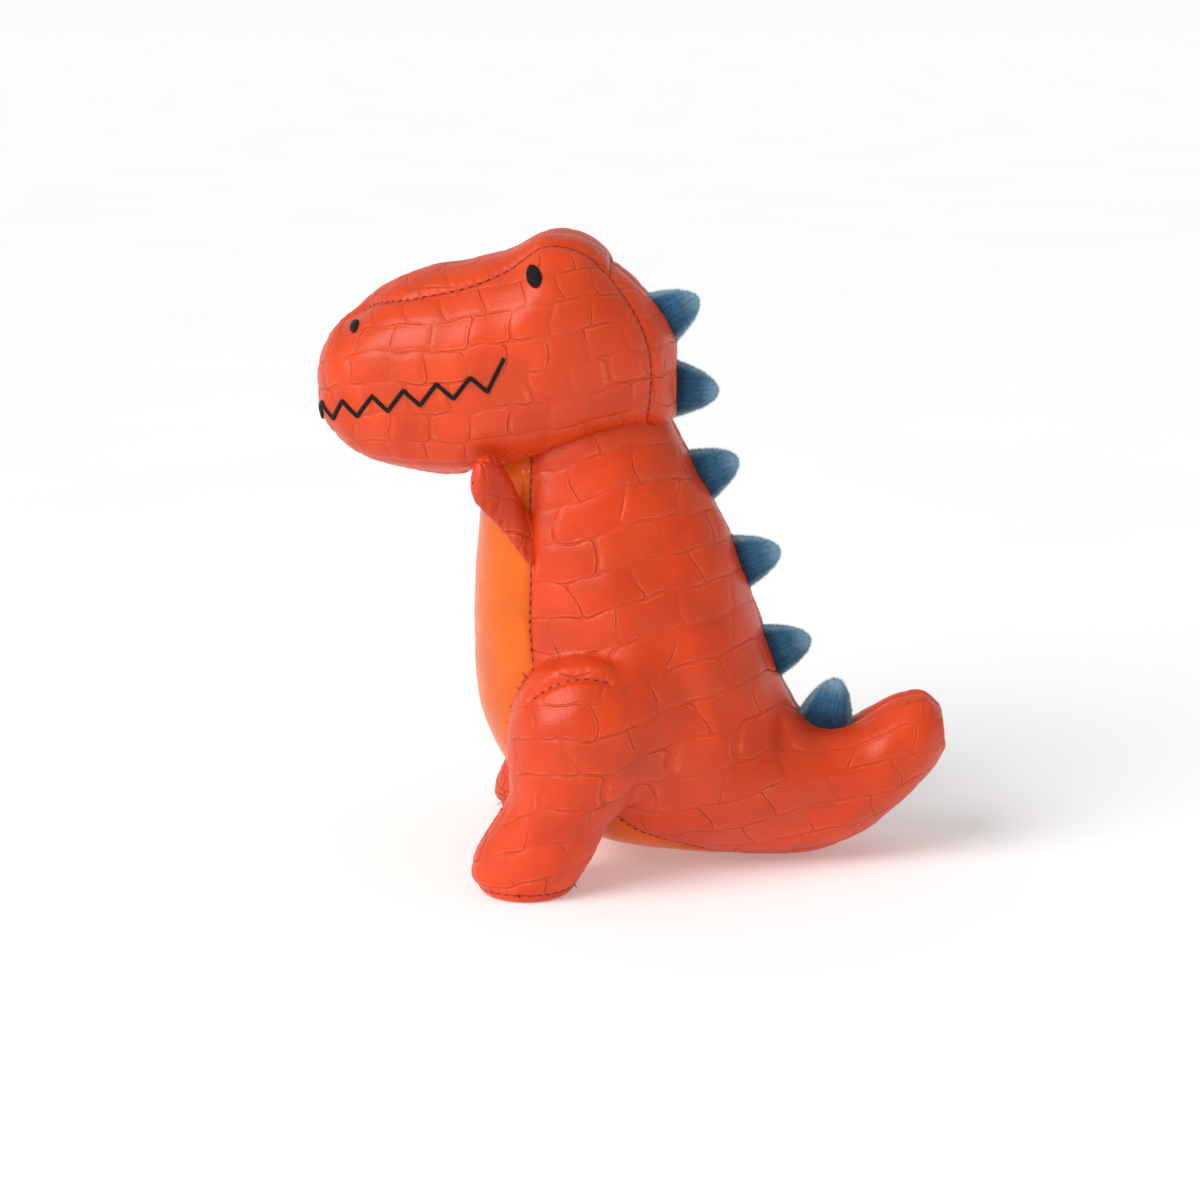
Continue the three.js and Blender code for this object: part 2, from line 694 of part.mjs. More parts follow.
const dinosaur = new THREE.Group();
dinosaur.name = "stuffed_dinosaur";
dinosaur.add(...torsoPieces());
dinosaur.add(...headPieces());
dinosaur.add(...facePieces());
dinosaur.add(...allSpikes());
dinosaur.add(...armPieces());

export default dinosaur;
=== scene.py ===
"""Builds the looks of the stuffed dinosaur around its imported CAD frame.

Numpy works in millimetres in the part's own frame (+Z up, facing -Y, left side +X) and each mesh is written
in metres. Every bag of the toy is a signed distance volume made from the same sections as its CAD solids.
Its surface is cut into panels along the seams, pinched in at each seam and pressed with the hide pattern.
"""

from __future__ import annotations

import logging
import math
from collections.abc import Iterator
from dataclasses import dataclass, field
from enum import Enum

import bpy
import numpy as np
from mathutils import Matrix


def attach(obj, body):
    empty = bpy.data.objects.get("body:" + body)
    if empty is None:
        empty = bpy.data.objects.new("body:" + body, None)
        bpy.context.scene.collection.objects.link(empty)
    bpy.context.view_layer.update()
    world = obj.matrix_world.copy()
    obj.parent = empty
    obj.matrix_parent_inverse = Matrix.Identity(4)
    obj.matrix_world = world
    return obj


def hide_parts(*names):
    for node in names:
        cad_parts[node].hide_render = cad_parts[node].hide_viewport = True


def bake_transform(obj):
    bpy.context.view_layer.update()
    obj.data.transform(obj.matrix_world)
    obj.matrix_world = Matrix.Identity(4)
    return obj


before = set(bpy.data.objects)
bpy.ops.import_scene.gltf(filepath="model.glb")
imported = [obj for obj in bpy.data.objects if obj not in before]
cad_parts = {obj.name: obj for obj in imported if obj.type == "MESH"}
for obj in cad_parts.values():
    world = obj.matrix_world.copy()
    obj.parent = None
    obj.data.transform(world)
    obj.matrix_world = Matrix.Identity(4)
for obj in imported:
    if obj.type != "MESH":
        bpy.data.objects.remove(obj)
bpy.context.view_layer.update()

import openvdb
from mathutils import Vector

log = logging.getLogger("dinosaur")

METRES = 0.001
FULL_TURN = 2 * math.pi
GOLDEN = 0.618034
WHITE = (1.0, 1.0, 1.0, 1.0)
CELL = 0.95  # the side of a volume's cell
HAIRS = 3600  # on each face of a spike

# Leather thickness, the depth of a seam allowance, and the sewing thread's stitches.
SKIN = 1.6
HEM = 2.4
STITCH_PITCH = 3.4
STITCH_HALF = 0.85
STITCH_RADIUS = 0.32

# Sections down the torso from the neck to the tail's tip: front (y, z), back (y, z), share of the half width.
TORSO_HALF_WIDTH = 50.0
TORSO_POWER = 2.15
TORSO_FRONT = [(-51, 166), (-56, 137), (-58, 114), (-59, 88), (-56, 56), (-41, 28), (-17, 10), (14, 3.4),
               (46, 0.8), (72, 2.4), (94, 14), (111.5, 31), (118.5, 42)]
TORSO_BACK = [(7, 184), (24, 148), (39, 119), (49, 89), (58, 66), (65, 54), (71, 50.5), (77, 50), (83, 51),
              (90, 55), (100, 61), (110, 62.5), (116.5, 57)]
TORSO_HALF = [0.53, 0.72, 0.85, 0.95, 1, 0.99, 0.92, 0.8, 0.66, 0.55, 0.48, 0.36, 0.2]
BELLY_END = 0.68
BELLY_ANGLES = [62, 61, 59, 57, 57, 58, 60, 54, 38, 3]

# Sections along the head: y, top z, bottom z, share of the half width.
HEAD_HALF_WIDTH = 44.0
HEAD_TOP_POWER = 2.5
HEAD_CHIN_POWER = 3.0
HEAD_SECTIONS = [
    (-115, 186, 176, 0.2), (-113, 193, 168, 0.45), (-108.5, 200.5, 161.5, 0.64), (-101, 206, 154.5, 0.78),
    (-90, 214, 150, 0.88), (-76, 219.7, 147.5, 0.95), (-58, 223.3, 146.5, 0.985), (-44, 227.5, 149.5, 1),
    (-31, 234.5, 153.5, 1), (-18, 232.5, 157.5, 0.96), (-5, 222.5, 161.5, 0.86), (5, 213, 163.5, 0.72),
    (11.5, 205, 164, 0.56), (16.2, 196, 167.5, 0.3),
]
TOP_STRIP = [(-121.5, 3.5), (-107.5, 4.5), (-98, 9), (-90, 20), (-80, 27), (-60, 28), (-40, 24), (-16, 22),
             (-8, 23)]
HEAD_BACK_SEAM = [(5, 160), (8, 180), (8, 193), (5, 203.5), (0, 212), (-7, 221), (-8, 243)]
CHIN_HALF_WIDTH = 19.0
CHIN_END = -58.0

# Sections of the left leg: x offset from the foot, y, z, share of the half width, half depth.
FOOT_SPREAD = 52.0
LEG_HALF_WIDTH = 25.0
SOLE_SEAM = 3.0
LEG_SECTIONS = [
    (-12, -13, 86, 0.4, 10), (-10, -14, 81, 0.75, 20), (-8, -15, 68, 0.98, 27.5), (-5, -16.5, 50, 1, 27.3),
    (-2, -20, 36, 0.92, 23), (-0.5, -27, 26, 0.8, 22), (0, -33, 15, 0.77, 22.5), (0, -36, 7, 0.75, 20.8),
    (0, -36.5, 2.5, 0.68, 18), (0, -36.5, 0, 0.58, 15.2),
]
THIGH_DART = [(-37, 74.5), (-28.4, 78.4), (-19.2, 81.1), (-14.6, 81.5), (-6, 80.5)]


# ------------------------------------------------------------------------------
# Curves and arrays
# ------------------------------------------------------------------------------


def through(points: np.ndarray, share: np.ndarray) -> np.ndarray:
    """Centripetal Catmull-Rom curve: a cubic on each span, whose end slopes weigh the neighbours by root
    distance.

    Args:
        points: the stations, one row each.
        share: where along the curve, 0 at the first station and 1 at the last, stations evenly spread.

    Returns:
        One row for each share.
    """
    stations = np.asarray(points, float)
    ends = np.vstack([2 * stations[0] - stations[1], stations, 2 * stations[-1] - stations[-2]])
    place = np.clip(np.asarray(share, float), 0, 1) * (len(stations) - 1)
    span = np.minimum(place.astype(int), len(stations) - 2)
    w = (place - span)[..., None]
    p0, p1, p2, p3 = (ends[span + i] for i in range(4))
    pairs = ((p0, p1), (p1, p2), (p2, p3))
    d0, d1, d2 = (np.maximum(np.sum((b - a) ** 2, -1, keepdims=True) ** 0.25, 1e-4) for a, b in pairs)
    slope1 = ((p1 - p0) / d0 - (p2 - p0) / (d0 + d1) + (p2 - p1) / d1) * d1
    slope2 = ((p2 - p1) / d1 - (p3 - p1) / (d1 + d2) + (p3 - p2) / d2) * d1
    square = 3 * (p2 - p1) - 2 * slope1 - slope2
    cube = 2 * (p1 - p2) + slope1 + slope2
    return p1 + slope1 * w + square * w**2 + cube * w**3


def smoothstep(low: float, high: float, value: np.ndarray) -> np.ndarray:
    """0 below low, 1 above high, and 3s^2 - 2s^3 between them."""
    s = np.clip((value - low) / (high - low), 0, 1)
    return s * s * (3 - 2 * s)


def powered(value: np.ndarray, power: float) -> np.ndarray:
    """A cosine or sine to the power 2/power with its sign kept, which squares a ring into a superellipse."""
    return np.sign(value) * np.abs(value) ** (2 / power)


def unit(rows: np.ndarray) -> np.ndarray:
    """Each row at length one."""
    return rows / np.maximum(np.linalg.norm(rows, axis=-1, keepdims=True), 1e-9)


def spaced(points: np.ndarray, pitch: float) -> tuple[np.ndarray, np.ndarray]:
    """Points a pitch apart along a polyline, by linear interpolation on its arc length.

    Args:
        points: the polyline, one row each.
        pitch: distance between results.

    Returns:
        The points, and how far along each lies.
    """
    steps = np.linalg.norm(np.diff(points, axis=0), axis=1)
    along = np.concatenate([[0.0], np.cumsum(steps)])
    places = np.arange(pitch / 2, along[-1], pitch)
    return np.stack([np.interp(places, along, column) for column in points.T], -1), places


def nearest(points: np.ndarray, cloud: np.ndarray) -> tuple[np.ndarray, np.ndarray]:
    """For each point, the closest member of a cloud, by squared distances a block at a time.

    Args:
        points: rows to look up.
        cloud: rows to find.

    Returns:
        Distances and indices into the cloud.
    """
    block = max(1, 24_000_000 // max(1, len(cloud)))
    weight = (cloud**2).sum(1)
    blocks = (points[i : i + block] for i in range(0, len(points), block))
    found = [np.argmin(weight[None] - 2 * rows @ cloud.T, 1) for rows in blocks]
    index = np.concatenate(found or [np.zeros(0, int)])
    return np.linalg.norm(points - cloud[index], axis=1), index


def waves(points: np.ndarray, length: float, seed: int) -> np.ndarray:
    """Soft unevenness between -1 and 1: nine sine waves of about one length in seeded directions."""
    draw = np.random.default_rng(seed)
    ways = unit(draw.normal(size=(9, 3))) * (2 * math.pi / (length * draw.uniform(0.75, 1.4, (9, 1))))
    return np.sin(points @ ways.T + draw.uniform(0, 2 * math.pi, 9)).sum(1) / 4.5


# ------------------------------------------------------------------------------
# Volumes and sheets
# ------------------------------------------------------------------------------


def halved(quads: np.ndarray) -> np.ndarray:
    """Each quad as two triangles."""
    return np.concatenate([quads[:, [0, 1, 2]], quads[:, [0, 2, 3]]])


def lattice(shape: tuple[int, ...]) -> np.ndarray:
    """Two triangles for each cell of a grid of points."""
    index = np.arange(math.prod(shape)).reshape(shape)
    corners = index[:-1, :-1], index[:-1, 1:], index[1:, 1:], index[1:, :-1]
    return halved(np.stack(corners, -1).reshape(-1, 4))


def walls(index: np.ndarray) -> np.ndarray:
    """Two triangles for each cell between neighbouring rings; the last two axes are ring and side."""
    after = np.roll(index, -1, -1)
    corners = index[..., :-1, :], after[..., :-1, :], after[..., 1:, :], index[..., 1:, :]
    return halved(np.stack(corners, -1).reshape(-1, 4))


def outward(points: np.ndarray, triangles: np.ndarray) -> np.ndarray:
    """The triangles of closed surfaces, turned over if their signed volume is negative."""
    corners = points[triangles]
    volume = np.einsum("ij,ij->", corners[:, 0], np.cross(corners[:, 1], corners[:, 2]))
    return triangles if volume > 0 else triangles[:, ::-1]


def closed_loft(rings: np.ndarray) -> tuple[np.ndarray, np.ndarray]:
    """A closed surface through rings: walls between neighbours, and a fan over each end.

    Args:
        rings: array of ring, side, xyz.

    Returns:
        Points and triangles.
    """
    count, sides = rings.shape[:2]
    index = np.arange(count * sides).reshape(count, sides)
    points = np.vstack([rings.reshape(-1, 3), rings[0].mean(0), rings[-1].mean(0)])
    first, last = index[0], index[-1]
    low = np.stack([np.roll(first, -1), first, np.full(sides, count * sides)], -1)
    high = np.stack([last, np.roll(last, -1), np.full(sides, count * sides + 1)], -1)
    return points, outward(points, np.concatenate([walls(index), low, high]))


@dataclass
class Volume:
    """A box of signed distances in millimetres on a regular grid."""

    low: tuple[float, float, float]
    high: tuple[float, float, float]
    cell: float = CELL
    band: float = 17.0

    def __post_init__(self) -> None:
        """Sets out the grid."""
        self.first = np.floor(np.array(self.low) / self.cell).astype(int)
        self.shape = tuple(np.ceil(np.array(self.high) / self.cell).astype(int) - self.first + 1)

    def axes(self) -> list[np.ndarray]:
        """The grid's coordinates along x, y and z, ready to broadcast."""
        lines = [(self.first[i] + np.arange(self.shape[i])) * self.cell for i in range(3)]
        return np.meshgrid(*lines, indexing="ij", sparse=True)

    def distances(self, points: np.ndarray, triangles: np.ndarray) -> np.ndarray:
        """Signed distance from a closed surface, negative inside, held at the band's edge further off."""
        grid = openvdb.FloatGrid.createLevelSetFromPolygons(
            points.astype(np.float32),
            triangles=triangles.astype(np.uint32),
            transform=openvdb.createLinearTransform(voxelSize=self.cell),
            halfWidth=self.band / self.cell,
        )
        out = np.full(self.shape, self.band, np.float32)
        grid.copyToArray(out, ijk=tuple(int(i) for i in self.first))
        return out

    def sample(self, values: np.ndarray, points: np.ndarray) -> np.ndarray:
        """Trilinear interpolation of grid values at points."""
        place = points / self.cell - self.first
        base = np.clip(np.floor(place).astype(int), 0, np.array(self.shape) - 2)
        w = np.clip(place - base, 0, 1)
        total = np.zeros(len(points))
        for corner in range(8):
            step = np.array([corner & 1, corner >> 1 & 1, corner >> 2 & 1])
            share = np.prod(np.where(step, w, 1 - w), 1)
            total += share * values[tuple((base + step).T)]
        return total

    def surface(self, values: np.ndarray, level: float = 0.0) -> tuple[np.ndarray, np.ndarray]:
        """The surface at one distance, as points and quads that face outwards."""
        grid = openvdb.FloatGrid(float(self.band))
        grid.copyFromArray(values)
        points, quads = grid.convertToQuads(level)
        return (points.astype(float) + self.first) * self.cell, quads.astype(int)


def merged(a: np.ndarray, b: np.ndarray, rounding: np.ndarray | float) -> np.ndarray:
    """Smooth union of two distances: the smaller, less k h (1 - h) where the two are within a rounding k."""
    h = np.clip(0.5 + 0.5 * (b - a) / rounding, 0, 1)
    return b + (a - b) * h - rounding * h * (1 - h)


def relaxed(points: np.ndarray, quads: np.ndarray, rounds: int) -> np.ndarray:
    """Each point moved halfway to the mean of its neighbours along quad edges, a number of rounds."""
    ends = np.concatenate([quads, np.roll(quads, -1, 1)]).ravel()
    others = np.concatenate([np.roll(quads, -1, 1), quads]).ravel()
    number = np.bincount(ends, minlength=len(points))[:, None]
    for _ in range(rounds):
        total = np.stack([np.bincount(ends, points[others, i], len(points)) for i in range(3)], -1)
        points = 0.5 * points + 0.5 * total / np.maximum(number, 1)
    return points


def normals_of(points: np.ndarray, triangles: np.ndarray) -> np.ndarray:
    """Unit normals at points: the sum of the cross products of the triangles around each."""
    a, b, c = (points[triangles[:, i]] for i in range(3))
    face = np.cross(b - a, c - a)
    total = np.stack(
        [sum(np.bincount(triangles[:, k], face[:, i], len(points)) for k in range(3)) for i in range(3)], -1
    )
    return unit(total)


@dataclass
class Sheet:
    """Triangles with named values at their points."""

    points: np.ndarray
    triangles: np.ndarray
    values: dict[str, np.ndarray] = field(default_factory=dict)

    def cut(self, field_values: np.ndarray) -> "Sheet":
        """Splits the triangles that a field's zero line crosses, with new points where the field, taken as
        straight along an edge, is zero.

        Args:
            field_values: one number a point.

        Returns:
            The cut sheet.
        """
        f = np.where(np.abs(field_values) < 1e-5, 1e-5, field_values)
        above = f[self.triangles] > 0
        count = above.sum(1)
        crossed = (count > 0) & (count < 3)
        mixed, high = self.triangles[crossed], above[crossed]
        lone = np.where(high.sum(1) == 1, high.argmax(1), (~high).argmax(1))
        rows = np.arange(len(mixed))
        a, b, c = (mixed[rows, (lone + i) % 3] for i in range(3))
        size = len(self.points)
        pairs = np.concatenate([np.stack([a, b], -1), np.stack([a, c], -1)])
        pairs.sort(1)
        keys, place = np.unique(pairs[:, 0] * size + pairs[:, 1], return_inverse=True)
        p, q = keys // size, keys % size
        w = (f[p] / (f[p] - f[q]))[:, None]

        def blend(values: np.ndarray) -> np.ndarray:
            """Values with those of the new points added, straight along each cut edge."""
            rows_ = values.reshape(len(values), -1)
            return np.concatenate([rows_, rows_[p] * (1 - w) + rows_[q] * w]).reshape(-1, *values.shape[1:])

        ab, ac = size + place[: len(mixed)], size + place[len(mixed) :]
        pieces = [np.stack(corners, -1) for corners in ((a, ab, ac), (ab, b, c), (ab, c, ac))]
        triangles = np.concatenate([self.triangles[~crossed], *pieces])
        return Sheet(blend(self.points), triangles, {k: blend(v) for k, v in self.values.items()})

    def part(self, chosen: np.ndarray) -> "Sheet":
        """Only the chosen triangles, with the points that they use."""
        triangles = self.triangles[chosen]
        used, index = np.unique(triangles, return_inverse=True)
        return Sheet(self.points[used], index.reshape(-1, 3), {k: v[used] for k, v in self.values.items()})

    def rim(self) -> np.ndarray:
        """Edges that only one triangle has, in that triangle's order."""
        edges = np.concatenate([self.triangles[:, pair] for pair in ([0, 1], [1, 2], [2, 0])])
        keys = np.sort(edges, 1) @ np.array([len(self.points), 1])
        _, first, count = np.unique(keys, return_index=True, return_counts=True)
        return edges[first[count == 1]]

    def hemmed(self, inwards: np.ndarray, width: float) -> "Sheet":
        """The sheet with its edge turned in as a seam allowance: each rim edge swept along its points' inward
        direction by a width."""
        edges = self.rim()
        used, index = np.unique(edges, return_inverse=True)
        index = index.reshape(-1, 2) + len(self.points)
        extra = self.points[used] + inwards[used] * width
        a, b = edges.T
        c, d = index[:, 1], index[:, 0]
        walls = np.concatenate([np.stack([b, a, d], -1), np.stack([b, d, c], -1)])
        values = {k: np.concatenate([v, v[used]]) for k, v in self.values.items()}
        return Sheet(np.vstack([self.points, extra]), np.concatenate([self.triangles, walls]), values)


def joined(a: Sheet, b: Sheet) -> Sheet:
    """Two sheets with the same kinds of values as one."""
    values = {k: np.concatenate([v, b.values[k]]) for k, v in a.values.items()}
    triangles = np.concatenate([a.triangles, b.triangles + len(a.points)])
    return Sheet(np.vstack([a.points, b.points]), triangles, values)


def bars(rings: np.ndarray) -> Sheet:
    """Closed rods through rings of points, with a fan over each end.

    Args:
        rings: array of rod, ring, side, xyz.

    Returns:
        One sheet of every rod.
    """
    index = np.arange(rings[..., 0].size).reshape(rings.shape[:-1])
    first, last = index[:, 0], index[:, -1]
    fans = []
    for i in range(1, rings.shape[2] - 1):
        fans.append(np.stack([first[:, 0], first[:, i + 1], first[:, i]], -1))
        fans.append(np.stack([last[:, 0], last[:, i], last[:, i + 1]], -1))
    points = rings.reshape(-1, 3)
    return Sheet(points, outward(points, np.concatenate([walls(index), *fans])))


def into_object(name: str, sheet: Sheet, material: bpy.types.Material) -> bpy.types.Object:
    """An object of a sheet given in millimetres, written in metres, with the sheet's values as attributes.

    Args:
        name: the object's name.
        sheet: points, triangles and values.
        material: its finish.

    Returns:
        The object, at the origin.
    """
    mesh = bpy.data.meshes.new(name)
    mesh.vertices.add(len(sheet.points))
    mesh.vertices.foreach_set("co", (sheet.points * METRES).astype(np.float32).ravel())
    mesh.loops.add(sheet.triangles.size)
    mesh.loops.foreach_set("vertex_index", sheet.triangles.astype(np.int32).ravel())
    mesh.polygons.add(len(sheet.triangles))
    mesh.polygons.foreach_set("loop_start", np.arange(0, sheet.triangles.size, 3, dtype=np.int32))
    for key, values in sheet.values.items():
        layer = mesh.attributes.new(key, "FLOAT_VECTOR", "POINT")
        layer.data.foreach_set("vector", values.astype(np.float32).ravel())
    mesh.update(calc_edges=True)
    mesh.validate()
    mesh.polygons.foreach_set("use_smooth", np.full(len(mesh.polygons), True))
    mesh.materials.append(material)
    made = bpy.data.objects.new(name, mesh)
    bpy.context.scene.collection.objects.link(made)
    return made


def laid(
    points: np.ndarray, ground: np.ndarray, facing: np.ndarray, spread: float = 1.2
) -> tuple[np.ndarray, np.ndarray]:
    """Points brought down onto a surface: each moves along the weighted mean normal of the ground points near
    it to their weighted mean plane, with weights that fall off as a bell curve.

    Args:
        points: rows to bring down.
        ground: the surface's points.
        facing: the surface's normals.
        spread: how far the bell reaches.

    Returns:
        The points on the surface and its normals there.
    """
    out, ways = np.empty_like(points), np.empty_like(points)
    block = max(1, 20_000_000 // len(ground))
    many = min(16, len(ground))
    for i in range(0, len(points), block):
        part = points[i : i + block]
        squared = (part**2).sum(1)[:, None] + (ground**2).sum(1)[None] - 2 * part @ ground.T
        index = np.argpartition(squared, many - 1, 1)[:, :many]
        close = np.maximum(np.take_along_axis(squared, index, 1), 0)
        weight = np.exp(-(close - close.min(1, keepdims=True)) / (2 * spread**2))[..., None]
        way = unit((facing[index] * weight).sum(1))
        centre = (ground[index] * weight).sum(1) / weight.sum(1)
        out[i : i + block] = part - ((part - centre) * way).sum(1, keepdims=True) * way
        ways[i : i + block] = way
    return out, ways


# ------------------------------------------------------------------------------
# The pressed hide pattern
# ------------------------------------------------------------------------------


@dataclass(frozen=True)
class Hide:
    """Rounded tiles in wavy rows, each row shifted against the next."""

    row: float
    tile: float
    corner: float = 2.6
    turn_deg: float = 4.0
    sway: float = 0.12
    wobble: float = 0.42

    def turned(self, u: np.ndarray, v: np.ndarray) -> tuple[np.ndarray, np.ndarray]:
        """Sheet coordinates turned so that the rows climb a little."""
        turn = math.radians(self.turn_deg)
        return u * math.cos(turn) + v * math.sin(turn), v * math.cos(turn) - u * math.sin(turn)

    def inside(self, u: np.ndarray, v: np.ndarray) -> np.ndarray:
        """Distance to the edge of the tile that holds (u, v), as a rounded rectangle's: negative inside."""
        fine = 0.8 * np.sin(u / 3.3 + 2.1 * np.sin(v / 8.0)) + 0.5 * np.sin(u / 1.9 + v / 4.0)
        u, v = u + self.wobble * np.sin(v / 2.9 + 1.7 * np.sin(u / 9.0)), v + self.wobble * fine
        high = v / self.row + self.sway * np.sin(u / 17 + v / 60) + 0.5 * self.sway * np.sin(u / 7.3 + 1.3)
        row = np.floor(high)
        wide = u / self.tile + np.mod(row * GOLDEN, 1) + 0.1 * np.sin(v / 6 + row * 2.4)
        wide = wide + 0.11 * np.sin(2 * math.pi * wide + row)
        across = np.abs(wide - np.floor(wide) - 0.5) * self.tile - (self.tile / 2 - self.corner)
        up = np.abs(high - row - 0.5) * self.row - (self.row / 2 - self.corner)
        outside = np.hypot(np.maximum(across, 0), np.maximum(up, 0))
        return outside + np.minimum(np.maximum(across, up), 0) - self.corner


HEAD_HIDE = Hide(row=11.3, tile=14.5, corner=2.0, turn_deg=7)
BODY_HIDE = Hide(row=13.0, tile=24.0, corner=1.8, turn_deg=10)
ARM_HIDE = Hide(row=11.5, tile=14.0, corner=2.0, turn_deg=-8)


def sheet_place(points: np.ndarray, normals: np.ndarray, facing: np.ndarray, bend: float) -> np.ndarray:
    """Flat coordinates on a curved panel: the place in the plane it faces, plus bend (a - sin a) along the
    way the surface turns off, where a is the angle between the normal and the facing direction.

    Args:
        points: the panel's points.
        normals: its normals.
        facing: the direction that each point's panel faces, one row each.
        bend: the panel's usual radius.

    Returns:
        Two columns in millimetres.
    """
    up = np.where(np.abs(facing[:, 2:3]) > 0.7, np.array([[1.0, 0, 0]]), np.array([[0, 0, 1.0]]))
    first = unit(np.cross(up, facing))
    first = np.where((first @ np.array([0.1, 1, 0]))[:, None] < 0, -first, first)
    second = unit(np.cross(facing, first))
    second = np.where((second @ np.array([0.3, 0, 1]))[:, None] < 0, -second, second)
    angle = np.arccos(np.clip((normals * facing).sum(1), -1, 1))
    side = normals - (normals * facing).sum(1, keepdims=True) * facing
    reach = (bend * (angle - np.sin(angle)))[:, None] * unit(side)
    place = points + reach
    return np.stack([(place * first).sum(1), (place * second).sum(1)], -1)


# ------------------------------------------------------------------------------
# Finishes
# ------------------------------------------------------------------------------


def linear(colour: tuple[int, int, int], gain: float = 1.0) -> tuple[float, float, float, float]:
    """A screen colour of 0 to 255 as linear light, by the usual gamma curve, times a gain."""
    light = [(c / 255 / 12.92) if c <= 10 else ((c / 255 + 0.055) / 1.055) ** 2.4 for c in colour]
    return (light[0] * gain, light[1] * gain, light[2] * gain, 1.0)


class Signal:
    """A number that a node puts out, with arithmetic that adds Math nodes."""

    def __init__(self, shader: "Shader", socket: bpy.types.NodeSocket) -> None:
        """Holds the socket and the shader that it belongs to."""
        self.shader = shader
        self.socket = socket

    def apply(self, operation: str, *others: "Signal | float", first: bool = True) -> "Signal":
        """A Math node of this signal and others.

        Args:
            operation: the Math node's operation.
            others: the other inputs, in order.
            first: whether this signal is the first input, rather than the last.

        Returns:
            The result.
        """
        inputs = (self, *others) if first else (*others, self)
        node = self.shader.node("ShaderNodeMath", {"operation": operation}, dict(enumerate(inputs)))
        return Signal(self.shader, node.outputs[0])

    def __add__(self, other: "Signal | float") -> "Signal":
        """Sum."""
        return self.apply("ADD", other)

    __radd__ = __add__

    def __sub__(self, other: "Signal | float") -> "Signal":
        """Difference."""
        return self.apply("SUBTRACT", other)

    def __rsub__(self, other: float) -> "Signal":
        """Difference the other way round."""
        return self.apply("SUBTRACT", other, first=False)

    def __mul__(self, other: "Signal | float") -> "Signal":
        """Product."""
        return self.apply("MULTIPLY", other)

    __rmul__ = __mul__

    def __truediv__(self, other: "Signal | float") -> "Signal":
        """Quotient."""
        return self.apply("DIVIDE", other)

    def ramp(self, low: float, high: float) -> "Signal":
        """0 at low, 1 at high, eased between."""
        node = self.shader.node(
            "ShaderNodeMapRange",
            {"interpolation_type": "SMOOTHSTEP"},
            {"Value": self, "From Min": low, "From Max": high},
        )
        return Signal(self.shader, node.outputs[0])


class Shader:
    """A material, or a world, under construction."""

    def __init__(self, name: str, owner: bpy.types.World | None = None) -> None:
        """Starts a new material, or the given world, with an empty node tree."""
        self.material = owner or bpy.data.materials.new(name)
        self.material.use_nodes = True
        self.tree = self.material.node_tree
        self.tree.nodes.clear()

    def node(self, kind: str, settings: dict | None = None, values: dict | None = None) -> bpy.types.Node:
        """Adds a node.

        Args:
            kind: its type.
            settings: its own properties, set first.
            values: values or links for its inputs, by name or number.

        Returns:
            The node.
        """
        made = self.tree.nodes.new(kind)
        for key, value in (settings or {}).items():
            setattr(made, key, value)
        for key, value in (values or {}).items():
            target = made.inputs[key]
            if isinstance(value, Signal):
                self.tree.links.new(value.socket, target)
            elif isinstance(value, bpy.types.NodeSocket):
                self.tree.links.new(value, target)
            else:
                target.default_value = value
        return made

    def signal(self, node: bpy.types.Node, output: int | str = 0) -> Signal:
        """One of a node's outputs as a signal."""
        return Signal(self, node.outputs[output])

    def here(self) -> bpy.types.NodeSocket:
        """Object coordinates, in metres."""
        return self.node("ShaderNodeTexCoord").outputs["Object"]

    def scaled(self, size_mm: float, stretch: tuple[float, float, float] = (1, 1, 1)) -> bpy.types.NodeSocket:
        """Object coordinates in units of a size in millimetres."""
        scale = tuple(s / (size_mm * METRES) for s in stretch)
        return self.node("ShaderNodeMapping", {}, {"Vector": self.here(), "Scale": scale}).outputs[0]

    def noise(
        self, size_mm: float, detail: float = 2.0, stretch: tuple[float, float, float] = (1, 1, 1)
    ) -> Signal:
        """Noise between about 0.3 and 0.7, whose features are a size in millimetres."""
        values = {"Vector": self.scaled(size_mm, stretch), "Scale": 1.0, "Detail": detail}
        made = self.node("ShaderNodeTexNoise", {}, values)
        return self.signal(made, "Fac" if "Fac" in made.outputs else 0)

    def cells(self, size_mm: float) -> Signal:
        """Distance from the middle of irregular cells of a size in millimetres."""
        values = {"Vector": self.scaled(size_mm), "Scale": 1.0}
        return self.signal(self.node("ShaderNodeTexVoronoi", {"feature": "F1"}, values), "Distance")

    def stored(self, name: str) -> tuple[Signal, Signal, Signal]:
        """The three numbers of an attribute of the mesh."""
        place = self.node("ShaderNodeAttribute", {"attribute_name": name})
        split = self.node("ShaderNodeSeparateXYZ", {}, {0: place.outputs["Vector"]})
        return self.signal(split, 0), self.signal(split, 1), self.signal(split, 2)

    def blend(self, amount: Signal | float, a: object, b: object) -> bpy.types.NodeSocket:
        """Mixes two colours, a where the amount is 0 and b where it is 1."""
        made = self.node("ShaderNodeMix", {"data_type": "RGBA"}, {0: amount, 6: a, 7: b})
        return made.outputs[2]

    def bump(self, height_mm: Signal) -> bpy.types.NodeSocket:
        """A normal from a height in millimetres."""
        values = {"Height": height_mm, "Distance": METRES, "Strength": 1.0}
        return self.node("ShaderNodeBump", {}, values).outputs[0]

    def finish(self, **values: object) -> bpy.types.Material:
        """Ends in a Principled shader with these socket values, spaces written as underscores."""
        inputs = {key.replace("_", " "): value for key, value in values.items()}
        shader = self.node("ShaderNodeBsdfPrincipled", {}, inputs)
        self.node("ShaderNodeOutputMaterial", {}, {"Surface": shader.outputs[0]})
        return self.material


